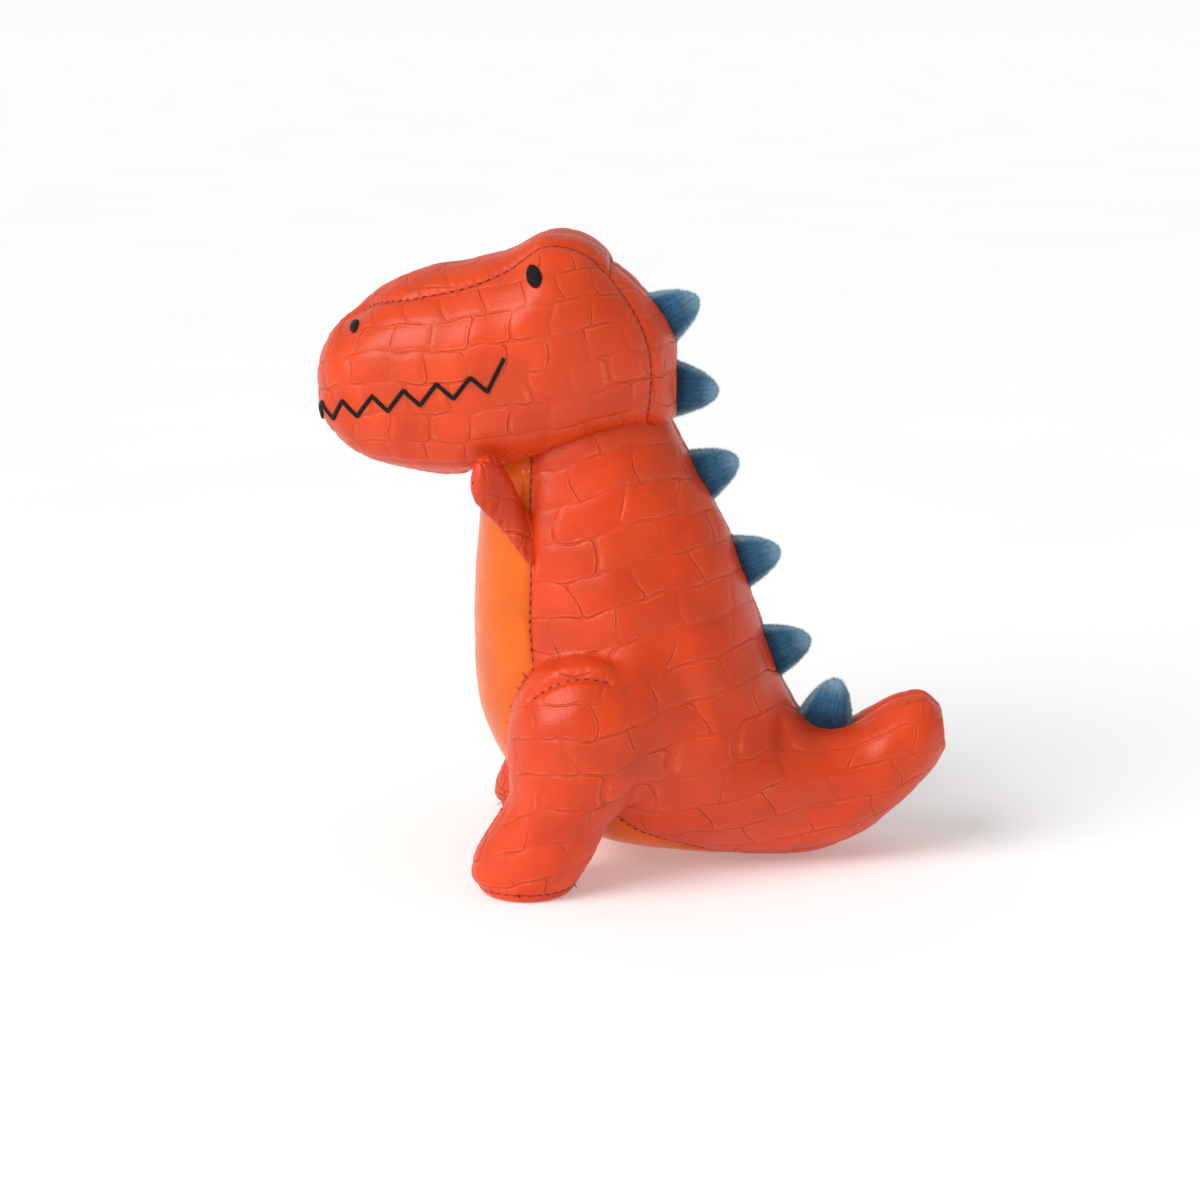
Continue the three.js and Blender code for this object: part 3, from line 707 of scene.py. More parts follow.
@dataclass(frozen=True)
class PressedLeather:
    """Semi-gloss synthetic leather pressed with a hide pattern."""

    name: str
    hide: Hide
    colour: tuple[int, int, int] = (213, 61, 8)
    # The lighter colour: the tone of some tiles and of the grain, and the painted highlight on each groove's
    # lip.
    rubbed_and_highlight: tuple[int, int, int] = (240, 122, 78)
    # deep: the painted shade in the grooves and along the seams.
    deep: tuple[int, int, int] = (150, 32, 8)

    def tile_edge(self, s: Shader, u: Signal, v: Signal) -> tuple[Signal, Signal]:
        """Hide.inside as nodes, and a tone for each row."""
        h = self.hide
        rise = (u / 3.3 + (v / 8.0).apply("SINE") * 2.1).apply("SINE") * (0.8 * h.wobble)
        fine = (u / 1.9 + v / 4.0).apply("SINE") * (0.5 * h.wobble)
        u, v = u + (v / 2.9 + (u / 9.0).apply("SINE") * 1.7).apply("SINE") * h.wobble, v + rise + fine
        sway = (u / 17 + v / 60).apply("SINE") * h.sway + (u / 7.3 + 1.3).apply("SINE") * (0.5 * h.sway)
        high = v / h.row + sway
        row = high.apply("FLOOR")
        shift = (row * GOLDEN).apply("FLOORED_MODULO", 1.0)
        wide = u / h.tile + shift + (v / 6 + row * 2.4).apply("SINE") * 0.1
        wide = wide + (wide * FULL_TURN + row).apply("SINE") * 0.11
        column = wide.apply("FLOOR")
        across = (wide - column - 0.5).apply("ABSOLUTE") * h.tile - (h.tile / 2 - h.corner)
        up = (high - row - 0.5).apply("ABSOLUTE") * h.row - (h.row / 2 - h.corner)
        ax, uz = across.apply("MAXIMUM", 0.0), up.apply("MAXIMUM", 0.0)
        outside = (ax * ax + uz * uz).apply("SQRT")
        edge = outside + across.apply("MAXIMUM", up).apply("MINIMUM", 0.0) - h.corner
        tone = (column * 0.37 + row * 0.71).apply("FLOORED_MODULO", 1.0)
        return edge, tone

    def build(self) -> bpy.types.Material:
        """The material: colour by tile, painted shade in the grooves and along the seams, a painted highlight
        on each groove's lip, fine grain and groove in the bump.
        """
        s = Shader(self.name)
        u, v, seam = s.stored("hide_mm")
        wander = s.noise(1.6, 2.0) - 0.5
        edge, tone = self.tile_edge(s, u + wander * 0.5, v + wander * 0.5)
        depth = s.noise(12.0, 2.0).ramp(0.4, 0.62) * 0.88 + 0.12
        groove = edge.ramp(-0.55, -0.12) * depth
        # lip: a band beside each groove, raised a little in the bump and painted lighter there as a
        # highlight.
        lip = edge.ramp(-1.5, -0.85) * (1 - edge.ramp(-0.85, -0.4)) * depth
        grain = s.cells(0.62)
        pores = s.noise(0.45, 3.0)
        cloudy = s.noise(24.0, 2.0)
        base = s.blend(cloudy.ramp(0.3, 0.72), linear(self.colour, 0.88), linear(self.colour, 1.1))
        base = s.blend(tone * 0.07, base, linear(self.rubbed_and_highlight, 0.9))
        # Painted highlight: the lip beside each groove lightened in patches.
        base = s.blend(lip * (s.noise(4.0).ramp(0.35, 0.65) * 0.3 + 0.06), base, linear(self.rubbed_and_highlight))
        # Painted shade: each groove darkened a little towards the deep colour.
        base = s.blend(groove * 0.1, base, linear(self.deep))
        # Painted shade: the leather darkened towards the deep colour near each seam, where the seam's valley
        # lies.
        base = s.blend((1 - seam.ramp(0.1, 0.9)) * 0.22, base, linear(self.deep))
        base = s.blend((1 - grain.ramp(0.1, 0.4)) * 0.07, base, linear(self.rubbed_and_highlight))
        rough = pores * 0.14 + groove * 0.1 + cloudy * 0.08 + 0.27
        wrinkle = s.noise(2.0, 3.0, (1, 1, 2.0))
        height = (1 - grain) * 0.05 + pores * 0.05 + wrinkle * 0.09 - groove * 0.34 + lip * 0.1
        return s.finish(
            Base_Color=base, Roughness=rough, Normal=s.bump(height), Specular_IOR_Level=0.32,
            Coat_Weight=0.05, Coat_Roughness=0.26,
        )


@dataclass(frozen=True)
class SmoothLeather:
    """Glossy unpressed synthetic leather with a fine grain."""

    name: str = "smooth_orange_leather"
    colour: tuple[int, int, int] = (224, 98, 0)
    # deep: the painted shade along the seams, and the darker grain.
    deep: tuple[int, int, int] = (190, 66, 0)

    def build(self) -> bpy.types.Material:
        """The material: slightly cloudy orange, with painted shade along the seams, grain and faint creases.
        """
        s = Shader(self.name)
        _, _, seam = s.stored("hide_mm")
        cloudy = s.noise(18.0, 2.0)
        grain = s.cells(0.6)
        base = s.blend(cloudy.ramp(0.3, 0.7), linear(self.colour, 0.9), linear(self.colour, 1.08))
        # Painted shade: the belly darkened towards the deep colour near each seam.
        base = s.blend((1 - seam.ramp(0.2, 1.6)) * 0.6, base, linear(self.deep))
        base = s.blend(grain.ramp(0.1, 0.5) * 0.05, base, linear(self.deep))
        height = s.noise(7.0, 1.0) * 0.08
        return s.finish(
            Base_Color=base, Roughness=s.noise(5.0, 2.0) * 0.12 + 0.24, Normal=s.bump(height),
            Specular_IOR_Level=0.32, Coat_Weight=0.08, Coat_Roughness=0.2,
        )


@dataclass(frozen=True)
class Velvet:
    """Short pile velvet."""

    name: str = "blue_velvet"
    colour: tuple[int, int, int] = (56, 116, 154)
    # dark: the ribs' colour and the painted shade at the root.
    dark: tuple[int, int, int] = (22, 54, 88)
    # pale: the painted sheen on the rim, the tip and the hairs' tips, and the sheen's tint.
    pale: tuple[int, int, int] = (164, 204, 224)

    def build(self) -> bpy.types.Material:
        """The material: brushed patches of pile, painted shade at the root, and a pale painted sheen at the
        tip and the rim.
        """
        s = Shader(self.name)
        along, height, rim = s.stored("pile_mm")
        brushed = s.noise(3.2, 3.0)
        pile = s.noise(0.35, 2.0)
        rib = (along * 4.4 + s.noise(3.0) * 2.5).apply("SINE") * 0.5 + 0.5
        # Painted shade: dark at the root of the spike, lighter up its height.
        base = s.blend(height.ramp(-1.0, 6.0), linear(self.dark), linear(self.colour))
        base = s.blend(brushed.ramp(0.35, 0.68) * 0.4, base, linear(self.colour, 0.45))
        base = s.blend(rib * 0.24, base, linear(self.dark))
        # Painted sheen: the rim and the tip of each face, and the hairs' tips, painted pale.
        base = s.blend(rim.ramp(0.35, 1.0) * 0.8, base, linear(self.pale))
        base = s.blend(pile.ramp(0.55, 0.75) * rim.ramp(-0.4, 0.8) * 0.45, base, linear(self.pale))
        return s.finish(
            Base_Color=base, Roughness=0.92, Normal=s.bump(pile * 0.3 + rib * 0.1 + brushed * 0.3),
            Specular_IOR_Level=0.2, Sheen_Weight=0.7, Sheen_Roughness=0.4, Sheen_Tint=linear(self.pale),
        )


@dataclass(frozen=True)
class Thread:
    """Twisted sewing or embroidery thread."""

    name: str
    colour: tuple[int, int, int]
    light: tuple[int, int, int]

    def build(self) -> bpy.types.Material:
        """The material: fine fibres with a soft sheen."""
        s = Shader(self.name)
        fibre = s.noise(0.3, 3.0, (1, 1, 4))
        base = s.blend(fibre.ramp(0.4, 0.75) * 0.55, linear(self.colour), linear(self.light))
        return s.finish(
            Base_Color=base, Roughness=fibre * 0.3 + 0.4, Normal=s.bump(fibre * 0.12),
            Specular_IOR_Level=0.25, Sheen_Weight=0.05,
        )


@dataclass(frozen=True)
class Fibre:
    """Loose white polyester filling."""

    name: str = "white_fibre"

    def build(self) -> bpy.types.Material:
        """The material: matt white with matted strands."""
        s = Shader(self.name)
        strands = s.noise(1.4, 4.0, (1, 3, 1))
        base = s.blend(strands.ramp(0.35, 0.7), linear((222, 219, 212)), linear((246, 244, 239)))
        return s.finish(Base_Color=base, Roughness=0.95, Normal=s.bump(strands * 0.8), Sheen_Weight=0.3)


class Slot(Enum):
    """The record's material slots."""

    PRESSED = "embossed_leather"
    SMOOTH = "smooth_leather"
    VELVET = "velvet"
    STUFFING = "stuffing"
    THREAD = "black_thread"


@dataclass
class Wardrobe:
    """Every finish, built once."""

    def __post_init__(self) -> None:
        """Builds the materials."""
        self.head = PressedLeather("pressed_leather_head", HEAD_HIDE, colour=(217, 64, 10)).build()
        self.body = PressedLeather("pressed_leather_body", BODY_HIDE).build()
        self.arm = PressedLeather("pressed_leather_arm", ARM_HIDE, colour=(208, 56, 8)).build()
        self.belly = SmoothLeather().build()
        self.velvet = Velvet().build()
        self.satin = Thread("black_satin_thread", (9, 6, 7), (34, 26, 28)).build()
        self.seam = Thread("dark_seam_thread", (122, 30, 16), (168, 56, 34)).build()
        self.fibre = Fibre().build()


def dress(
    piece: bpy.types.Object, body: str, slot: Slot, nodes: tuple[str, ...] = ()
) -> None:
    """Gives a finished piece its body, and hides the CAD nodes that it stands for.

    Args:
        piece: the object.
        body: the CAD body that it rides on.
        slot: the record's slot; not used.
        nodes: CAD nodes that it replaces.
    """
    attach(piece, body)
    if nodes:
        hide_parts(*nodes)
    log.info("%s: %d faces on %s", piece.name, len(piece.data.polygons), body)


# ------------------------------------------------------------------------------
# Sewn bags
# ------------------------------------------------------------------------------


@dataclass(frozen=True)
class SeamLine:
    """A seam's guide curve."""

    name: str
    path: np.ndarray


@dataclass
class Bag:
    """A stuffed bag: its surface, cut into labelled panels, pinched at the seams and pressed with the hide.

    Attributes:
        wardrobe: the finishes.
        touching: points of another bag that this one sits on, near which painted shade is laid on this one.
        pinch: depth of a seam's valley.
        pinch_reach: its width.
        dip: depth of the wide hollow along a seam.
        press: depth of the hide pattern.
    """

    wardrobe: Wardrobe
    touching: np.ndarray | None = None
    pinch: float = 1.0
    pinch_reach: float = 1.9
    dip: float = 0.55
    press: float = 0.24

    def panels(self, sheet: Sheet) -> tuple[Sheet, np.ndarray]:
        """Cuts the sheet along the seams and numbers each triangle's panel. Each bag has its own."""
        raise NotImplementedError

    def seams(self) -> list[SeamLine]:
        """The guide curves of the seams. Each bag has its own."""
        raise NotImplementedError

    def labelled(self) -> tuple[Sheet, np.ndarray]:
        """The bag's surface, cut into panels, and each triangle's panel."""
        points, quads = self.volume.surface(self.bag)
        sheet, labels = self.panels(Sheet(relaxed(points, quads, 4), halved(quads)))
        settled = self.settled(sheet, labels)
        log.info("%d stray triangles settled", (settled != labels).sum())
        return sheet, settled

    def skins(self, whole: Sheet, labels: np.ndarray, normals: np.ndarray) -> Iterator[tuple[int, Sheet]]:
        """Each panel's number and its part of the finished sheet, with the edge turned in."""
        whole.values["inwards"] = -normals
        for label in np.unique(labels):
            part = whole.part(labels == label)
            yield int(label), part.hemmed(part.values.pop("inwards"), HEM)

    def fill_with_fibre(self, body: str, gap: float, sag: float, seed: int) -> None:
        """The filling: the bag's surface at a gap inside the skin, a little uneven."""
        inner, quads = self.volume.surface(self.bag, -SKIN - gap)
        faces = halved(quads)
        inner = inner + normals_of(inner, faces) * (0.5 * waves(inner, 9, seed) - sag)[:, None]
        piece = into_object(f"{body}_filling", Sheet(inner, faces), self.wardrobe.fibre)
        dress(piece, body, Slot.STUFFING, (f"{body}_stuffing",))

    def settled(self, sheet: Sheet, labels: np.ndarray) -> np.ndarray:
        """Gives each stray triangle the label of its surroundings, where nearly all of them agree."""
        corners = sheet.triangles.ravel()
        total = np.maximum(np.bincount(corners, minlength=len(sheet.points)), 1)
        for label in np.tile(np.unique(labels), 2):
            mine = np.repeat((labels == label).astype(float), 3)
            share = np.bincount(corners, weights=mine, minlength=len(sheet.points)) / total
            labels = np.where(share[sheet.triangles].mean(1) > 0.7, label, labels)
        return labels

    def between(self, sheet: Sheet, labels: np.ndarray) -> np.ndarray:
        """The points that lie on seams: those whose triangles have different labels."""
        most = np.full(len(sheet.points), -1)
        least = np.full(len(sheet.points), 999)
        for k in range(3):
            np.maximum.at(most, sheet.triangles[:, k], labels)
            np.minimum.at(least, sheet.triangles[:, k], labels)
        return np.flatnonzero(most != least)

    def sew(self, sheet: Sheet, labels: np.ndarray, normals: np.ndarray) -> tuple[np.ndarray, np.ndarray]:
        """How far each point moves along its normal for the seams: a bell-shaped valley along every seam, and
        ripples with the stitches' pitch that fade away from it.

        Args:
            sheet: the cut sheet.
            labels: panel numbers of its triangles.
            normals: normals at its points.

        Returns:
            The movement, and the distance from the nearest seam.
        """
        seam = sheet.points[self.between(sheet, labels)]
        away, _ = nearest(sheet.points, seam)
        move = -self.pinch * np.exp(-((away / self.pinch_reach) ** 2)) - self.dip * np.exp(-away / 6.5)
        self.guides: list[tuple[str, np.ndarray]] = []
        for line in self.seams():
            dense, _ = spaced(line.path, 0.6)
            gap, index = nearest(dense, seam)
            kept = gap < 3.0
            if line.name.startswith("dart"):
                on, _ = laid(dense, sheet.points, normals)
                away_line, _ = nearest(sheet.points, on)
                move += -1.3 * np.exp(-((away_line / 1.5) ** 2))
                away = np.minimum(away, away_line)
            elif kept.sum() > 8:
                on = dense[kept] + 0.85 * (seam[index[kept]] - dense[kept])
            else:
                continue
            places = np.concatenate([[0], np.cumsum(np.linalg.norm(np.diff(on, axis=0), axis=1))])
            close, who = nearest(sheet.points, on)
            ripple = np.cos(FULL_TURN * places[who] / STITCH_PITCH)
            move += 0.22 * ripple * np.exp(-close / 2.2) * smoothstep(0.2, 1.2, close)
            self.guides.append((line.name, on))
        self.seam_points = seam
        return move, away

    def make_stitches(self, body: str, points: np.ndarray, normals: np.ndarray, sunk: float = 0.15) -> None:
        """Short thread bars along every guide, each a six-sided capsule half sunk in the valley.

        Args:
            body: the body that the stitches ride on.
            points: the finished surface's points.
            normals: its normals.
            sunk: how far a bar's middle is under the surface.
        """
        centres, ways = [], []
        for kind, guide in self.guides:
            soft = np.pad(guide, ((4, 4), (0, 0)), mode="edge")
            soft = np.stack([np.convolve(column, np.ones(9) / 9, "valid") for column in soft.T], -1)
            at, _ = spaced(soft, STITCH_PITCH)
            if len(at) < 3:
                continue
            way = unit(np.gradient(at, axis=0))
            gap, _ = nearest(at, self.seam_points)
            kept = (gap < 1.3) | (kind == "dart")
            centres.append(at[kept])
            ways.append(way[kept])
        at, along = np.concatenate(centres), np.concatenate(ways)
        at, up = laid(at, points, normals, 0.8)
        lean = (along * up).sum(1)
        flat = np.abs(lean) < 0.5
        at, up, along = at[flat], up[flat], unit(along - lean[:, None] * up)[flat]
        sheet = capsules(at - up * sunk, along, up)
        piece = into_object(f"{body}_seam_stitches", sheet, self.wardrobe.seam)
        dress(piece, body, Slot.THREAD)


def capsules(at: np.ndarray, along: np.ndarray, up: np.ndarray) -> Sheet:
    """Stitches as small rounded bars: rings of six points at five places, of radius r sqrt(1 - s^4).

    Args:
        at: centres.
        along: directions of the bars.
        up: directions out of the surface.

    Returns:
        One sheet of closed bars.
    """
    side = unit(np.cross(along, up))
    up = np.cross(side, along)
    s = np.array([-1, -0.8, 0, 0.8, 1])
    swell = np.sqrt(np.maximum(1 - s**4, 0.02)) * STITCH_RADIUS
    turn = np.arange(6) * math.pi / 3
    return bars(
        at[:, None, None]
        + along[:, None, None] * (s[None, :, None, None] * STITCH_HALF)
        + side[:, None, None] * (swell[None, :, None, None] * np.cos(turn)[None, None, :, None])
        + up[:, None, None] * (swell[None, :, None, None] * np.sin(turn)[None, None, :, None])
    )


@dataclass
class TorsoBag(Bag):
    """Torso, tail and legs: two red sides with the outer legs, an orange belly, inner legs and soles."""

    neck_blend: tuple[float, float] = (0.134, 0.158)

    def section(self, t: np.ndarray) -> tuple[np.ndarray, np.ndarray, np.ndarray, np.ndarray]:
        """The section at t: its centre, half depth, direction ahead and half width."""
        front = through([(0, *p) for p in TORSO_FRONT], t)
        back = through([(0, *p) for p in TORSO_BACK], t)
        half = through([(i, h, 0) for i, h in enumerate(TORSO_HALF)], t)[..., 1] * TORSO_HALF_WIDTH
        centre = (front + back) / 2
        reach = front - centre
        depth = np.linalg.norm(reach, axis=-1)
        return centre, depth, reach / depth[..., None], half

    def around(self, t: np.ndarray, angle: np.ndarray) -> np.ndarray:
        """A point about the section: a superellipse, angle 0 in front and a quarter turn at the left side."""
        centre, depth, ahead, half = self.section(t)
        forward = (powered(np.cos(angle), TORSO_POWER) * depth)[..., None] * ahead
        side = powered(np.sin(angle), TORSO_POWER) * half
        return centre + forward + side[..., None] * np.array([1.0, 0, 0])

    def belly_angle(self, t: np.ndarray) -> np.ndarray:
        """Half angle of the belly panel at t, in radians."""
        stations = [(i, a, 0) for i, a in enumerate(BELLY_ANGLES)]
        return np.radians(through(stations, t / BELLY_END)[..., 1])

    def leg_rings(self) -> np.ndarray:
        """The left leg: ellipses along a smooth curve through its sections."""
        share = np.linspace(0, 1, 90)
        rows = through(np.array(LEG_SECTIONS, float), share)
        turn = np.linspace(0, FULL_TURN, 64, endpoint=False)
        x = FOOT_SPREAD + rows[:, :1] + np.cos(turn) * rows[:, 3:4] * LEG_HALF_WIDTH
        y = rows[:, 1:2] + np.sin(turn) * rows[:, 4:5]
        return np.stack([x, y, np.broadcast_to(rows[:, 2:3], x.shape)], -1)

    def fill(self) -> None:
        """Works out the distances of torso and legs and their smooth union, which is tight in front of the
        thigh and round behind it."""
        self.volume = Volume((-84, -66, -6), (84, 126, 192))
        t = np.linspace(0, 1, 150)
        turn = np.linspace(0, FULL_TURN, 96, endpoint=False)
        rings = self.around(np.repeat(t[:, None], 96, 1), np.repeat(turn[None], 150, 0))
        self.torso = self.volume.distances(*closed_loft(rings))
        leg = self.leg_rings()
        left = self.volume.distances(*closed_loft(leg))
        right = self.volume.distances(*closed_loft(leg * np.array([-1.0, 1, 1])))
        self.leg = np.minimum(left, right)
        x, y, z = self.volume.axes()
        behind = smoothstep(-14, 10, y + 0 * z) * smoothstep(34, 50, np.abs(x) + 0 * y)
        rounding = (3.0 + 13.0 * behind).astype(np.float32)
        self.bag = merged(self.torso, self.leg, rounding)

    def run_of(self, points: np.ndarray) -> tuple[np.ndarray, np.ndarray]:
        """Where points lie about the torso: t by the section plane that each is in, and the angle of its
        superellipse there."""
        t = np.linspace(0, 1, 241)
        centre, _, ahead, _ = self.section(t)
        run = np.stack([np.zeros(241), ahead[:, 2], -ahead[:, 1]], -1)
        run *= np.sign((run * np.gradient(centre, axis=0)).sum(1))[:, None]
        level = points @ run.T - (centre * run).sum(1)
        passed = level > 0
        last = passed.shape[1] - 1 - np.argmax(passed[:, ::-1], 1)
        last = np.where(passed.any(1), np.minimum(last, 239), 0)
        rows = np.arange(len(points))
        a, b = level[rows, last], level[rows, last + 1]
        share = np.clip(a / np.where(np.abs(a - b) < 1e-9, 1, a - b), 0, 1)
        where = (last + share) / 240
        centre, depth, ahead, half = self.section(where)
        forward = ((points - centre) * ahead).sum(1) / depth
        side = np.abs(points[:, 0]) / half
        power = TORSO_POWER / 2
        angle = np.arctan2(side**power, np.sign(forward) * np.abs(forward) ** power)
        return where, angle

    def middle_of_leg(self, z: np.ndarray) -> np.ndarray:
        """The x of the leg's own middle line at a height."""
        rows = np.array(LEG_SECTIONS, float)[::-1]
        return FOOT_SPREAD + np.interp(z, rows[:, 2], rows[:, 0])

    def panels(self, sheet: Sheet) -> tuple[Sheet, np.ndarray]:
        """Labels: 0 belly, 1 and 2 sides, 3 and 4 inner legs, 5 and 6 soles, left before right."""

        def fields(points: np.ndarray) -> dict[str, np.ndarray]:
            """Signed fields, negative inside their panel."""
            where, angle = self.run_of(points)
            radius = np.sqrt(self.section(where)[1] * self.section(where)[3])
            belly = (angle - self.belly_angle(where)) * radius
            belly = np.maximum(belly, (where - BELLY_END) * 300)
            off_leg = self.volume.sample(self.leg, points) - self.volume.sample(self.torso, points)
            middle = np.abs(points[:, 0]) - self.middle_of_leg(points[:, 2])
            return {
                "belly": np.maximum(belly, -off_leg),
                "inner": np.maximum.reduce([off_leg, middle, SOLE_SEAM - points[:, 2]]),
                "sole": np.maximum(off_leg, points[:, 2] - SOLE_SEAM),
                "left": -points[:, 0],
            }

        for key in ("belly", "inner", "sole"):
            sheet = sheet.cut(fields(sheet.points)[key])
        seam_side = np.where(fields(sheet.points)["belly"] < -0.5, 1.0, sheet.points[:, 0])
        sheet = sheet.cut(seam_side)
        whole = fields(sheet.points[sheet.triangles].mean(1))
        left = whole["left"] < 0
        labels = np.where(left, 1, 2)
        labels = np.where(whole["inner"] < 0, np.where(left, 3, 4), labels)
        labels = np.where(whole["sole"] < 0, np.where(left, 5, 6), labels)
        return sheet, np.where(whole["belly"] < 0, 0, labels)

    def seams(self) -> list[SeamLine]:
        """Belly edges, centre back, leg fronts and backs, soles, and the dart on each thigh."""
        t = np.linspace(0.02, BELLY_END, 300)
        lines = [SeamLine("belly", self.around(t, s * self.belly_angle(t))) for s in (1, -1)]
        lines.append(SeamLine("back", through([(0, *p) for p in TORSO_BACK], np.linspace(0.06, 1, 400))))
        rows = through(np.array(LEG_SECTIONS, float), np.linspace(0.12, 0.9, 200))
        turn = np.linspace(0, FULL_TURN, 120)
        foot = LEG_SECTIONS[-2]
        for s in (1, -1):
            for way in (1, -1):
                x, y = s * (FOOT_SPREAD + rows[:, 0]), rows[:, 1] + way * rows[:, 4]
                lines.append(SeamLine("leg", np.stack([x, y, rows[:, 2]], -1)))
            x = s * (FOOT_SPREAD + np.cos(turn) * foot[3] * LEG_HALF_WIDTH)
            y = foot[1] + np.sin(turn) * foot[4]
            lines.append(SeamLine("sole", np.stack([x, y, np.full(120, SOLE_SEAM)], -1)))
            dart = through([(s * 60, *p) for p in THIGH_DART], np.linspace(0, 1, 80))
            lines.append(SeamLine("dart", dart))
        return lines

    def thigh_fold(self, points: np.ndarray, normals: np.ndarray) -> np.ndarray:
        """The puffed fold over each dart: a bump 2.4 mm high, wide along y and narrow across."""
        dart = np.array(THIGH_DART, float)
        height = np.interp(points[:, 1], dart[:, 0], dart[:, 1])
        over = points[:, 2] - height - 2.5
        out = smoothstep(0.1, 0.6, np.abs(normals[:, 0]) + 0.7 * normals[:, 2])
        run = np.exp(-(((points[:, 1] + 17) / 13.0) ** 4))
        return 2.4 * np.exp(-((over / 2.1) ** 2)) * run * out * (np.abs(points[:, 0]) > 38)

    def build(self) -> None:
        """Makes every piece of the bag."""
        self.fill()
        sheet, labels = self.labelled()
        normals = normals_of(sheet.points, sheet.triangles)
        move, away = self.sew(sheet, labels, normals)
        facing = np.zeros_like(normals)
        facing[:, 0] = np.sign(sheet.points[:, 0])
        place = sheet_place(sheet.points, normals, facing, 34)
        turned = np.stack(BODY_HIDE.turned(place[:, 0], place[:, 1]), -1)
        edge = BODY_HIDE.inside(turned[:, 0], turned[:, 1])
        where, angle = self.run_of(sheet.points)
        on_belly = smoothstep(1.0, -1.0, (angle - self.belly_angle(where)) * 40) * (where < BELLY_END)
        on_belly *= self.volume.sample(self.leg, sheet.points) > self.volume.sample(self.torso, sheet.points)
        pressed = -self.press * smoothstep(-2.4, -0.1, edge) * (1 - on_belly) * smoothstep(0.8, 2.6, away)
        lumps = 0.9 * waves(sheet.points, 46, 3) + 0.35 * waves(sheet.points, 17, 5) * smoothstep(0, 8, away)
        lumps *= 1 - 0.75 * on_belly
        creases = on_belly * 0.06 * waves(sheet.points * np.array([0.35, 1, 1.6]), 11, 9)
        low = smoothstep(1.5, 7, sheet.points[:, 2])
        move *= 1 - 0.5 * smoothstep(10, 6, sheet.points[:, 2])
        x, y, z = np.abs(sheet.points[:, 0]), sheet.points[:, 1], sheet.points[:, 2]
        tail = 1.5 * np.exp(-(((y - 58) / 4.0) ** 2) - ((z - 51) / 10.0) ** 2) * smoothstep(6, 16, x)
        thigh = self.thigh_fold(sheet.points, normals)
        amount = move + pressed + (lumps + creases) * low + thigh - tail
        floor_safe = np.where(sheet.points[:, 2] < 2.2, np.minimum(amount, 0) * 0.5, amount)
        moved = sheet.points + normals * floor_safe[:, None]
        moved[:, 2] = np.maximum(moved[:, 2], 0.0)
        # The third column, the distance from the nearest seam, sets where the leather paints shade along the
        # seams.
        whole = Sheet(moved, sheet.triangles, {"hide_mm": np.column_stack([turned, away])})
        finished = normals_of(moved, sheet.triangles)
        names = {
            0: ("belly_skin", "belly_panel", Slot.SMOOTH, self.wardrobe.belly),
            1: ("side_skin_left", "side_panel_left", Slot.PRESSED, self.wardrobe.body),
            2: ("side_skin_right", "side_panel_right", Slot.PRESSED, self.wardrobe.body),
            3: ("inner_leg_skin_left", "inner_leg_panel_left", Slot.PRESSED, self.wardrobe.body),
            4: ("inner_leg_skin_right", "inner_leg_panel_right", Slot.PRESSED, self.wardrobe.body),
            5: ("sole_skin_left", "foot_sole_left", Slot.PRESSED, self.wardrobe.body),
            6: ("sole_skin_right", "foot_sole_right", Slot.PRESSED, self.wardrobe.body),
        }
        for label, skin in self.skins(whole, labels, finished):
            name, node, slot, material = names[label]
            piece = into_object(name, skin, material)
            if label <= 2:
                start, end = self.neck_blend
                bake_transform(piece)
                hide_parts(node)
                log.info("%s: %d faces", name, len(piece.data.polygons))
            else:
                dress(piece, "torso", slot, (node,))
        self.make_stitches("torso", moved, finished)
        self.fill_with_fibre("torso", 1.6, 0.5, 11)
        self.surface_points = moved


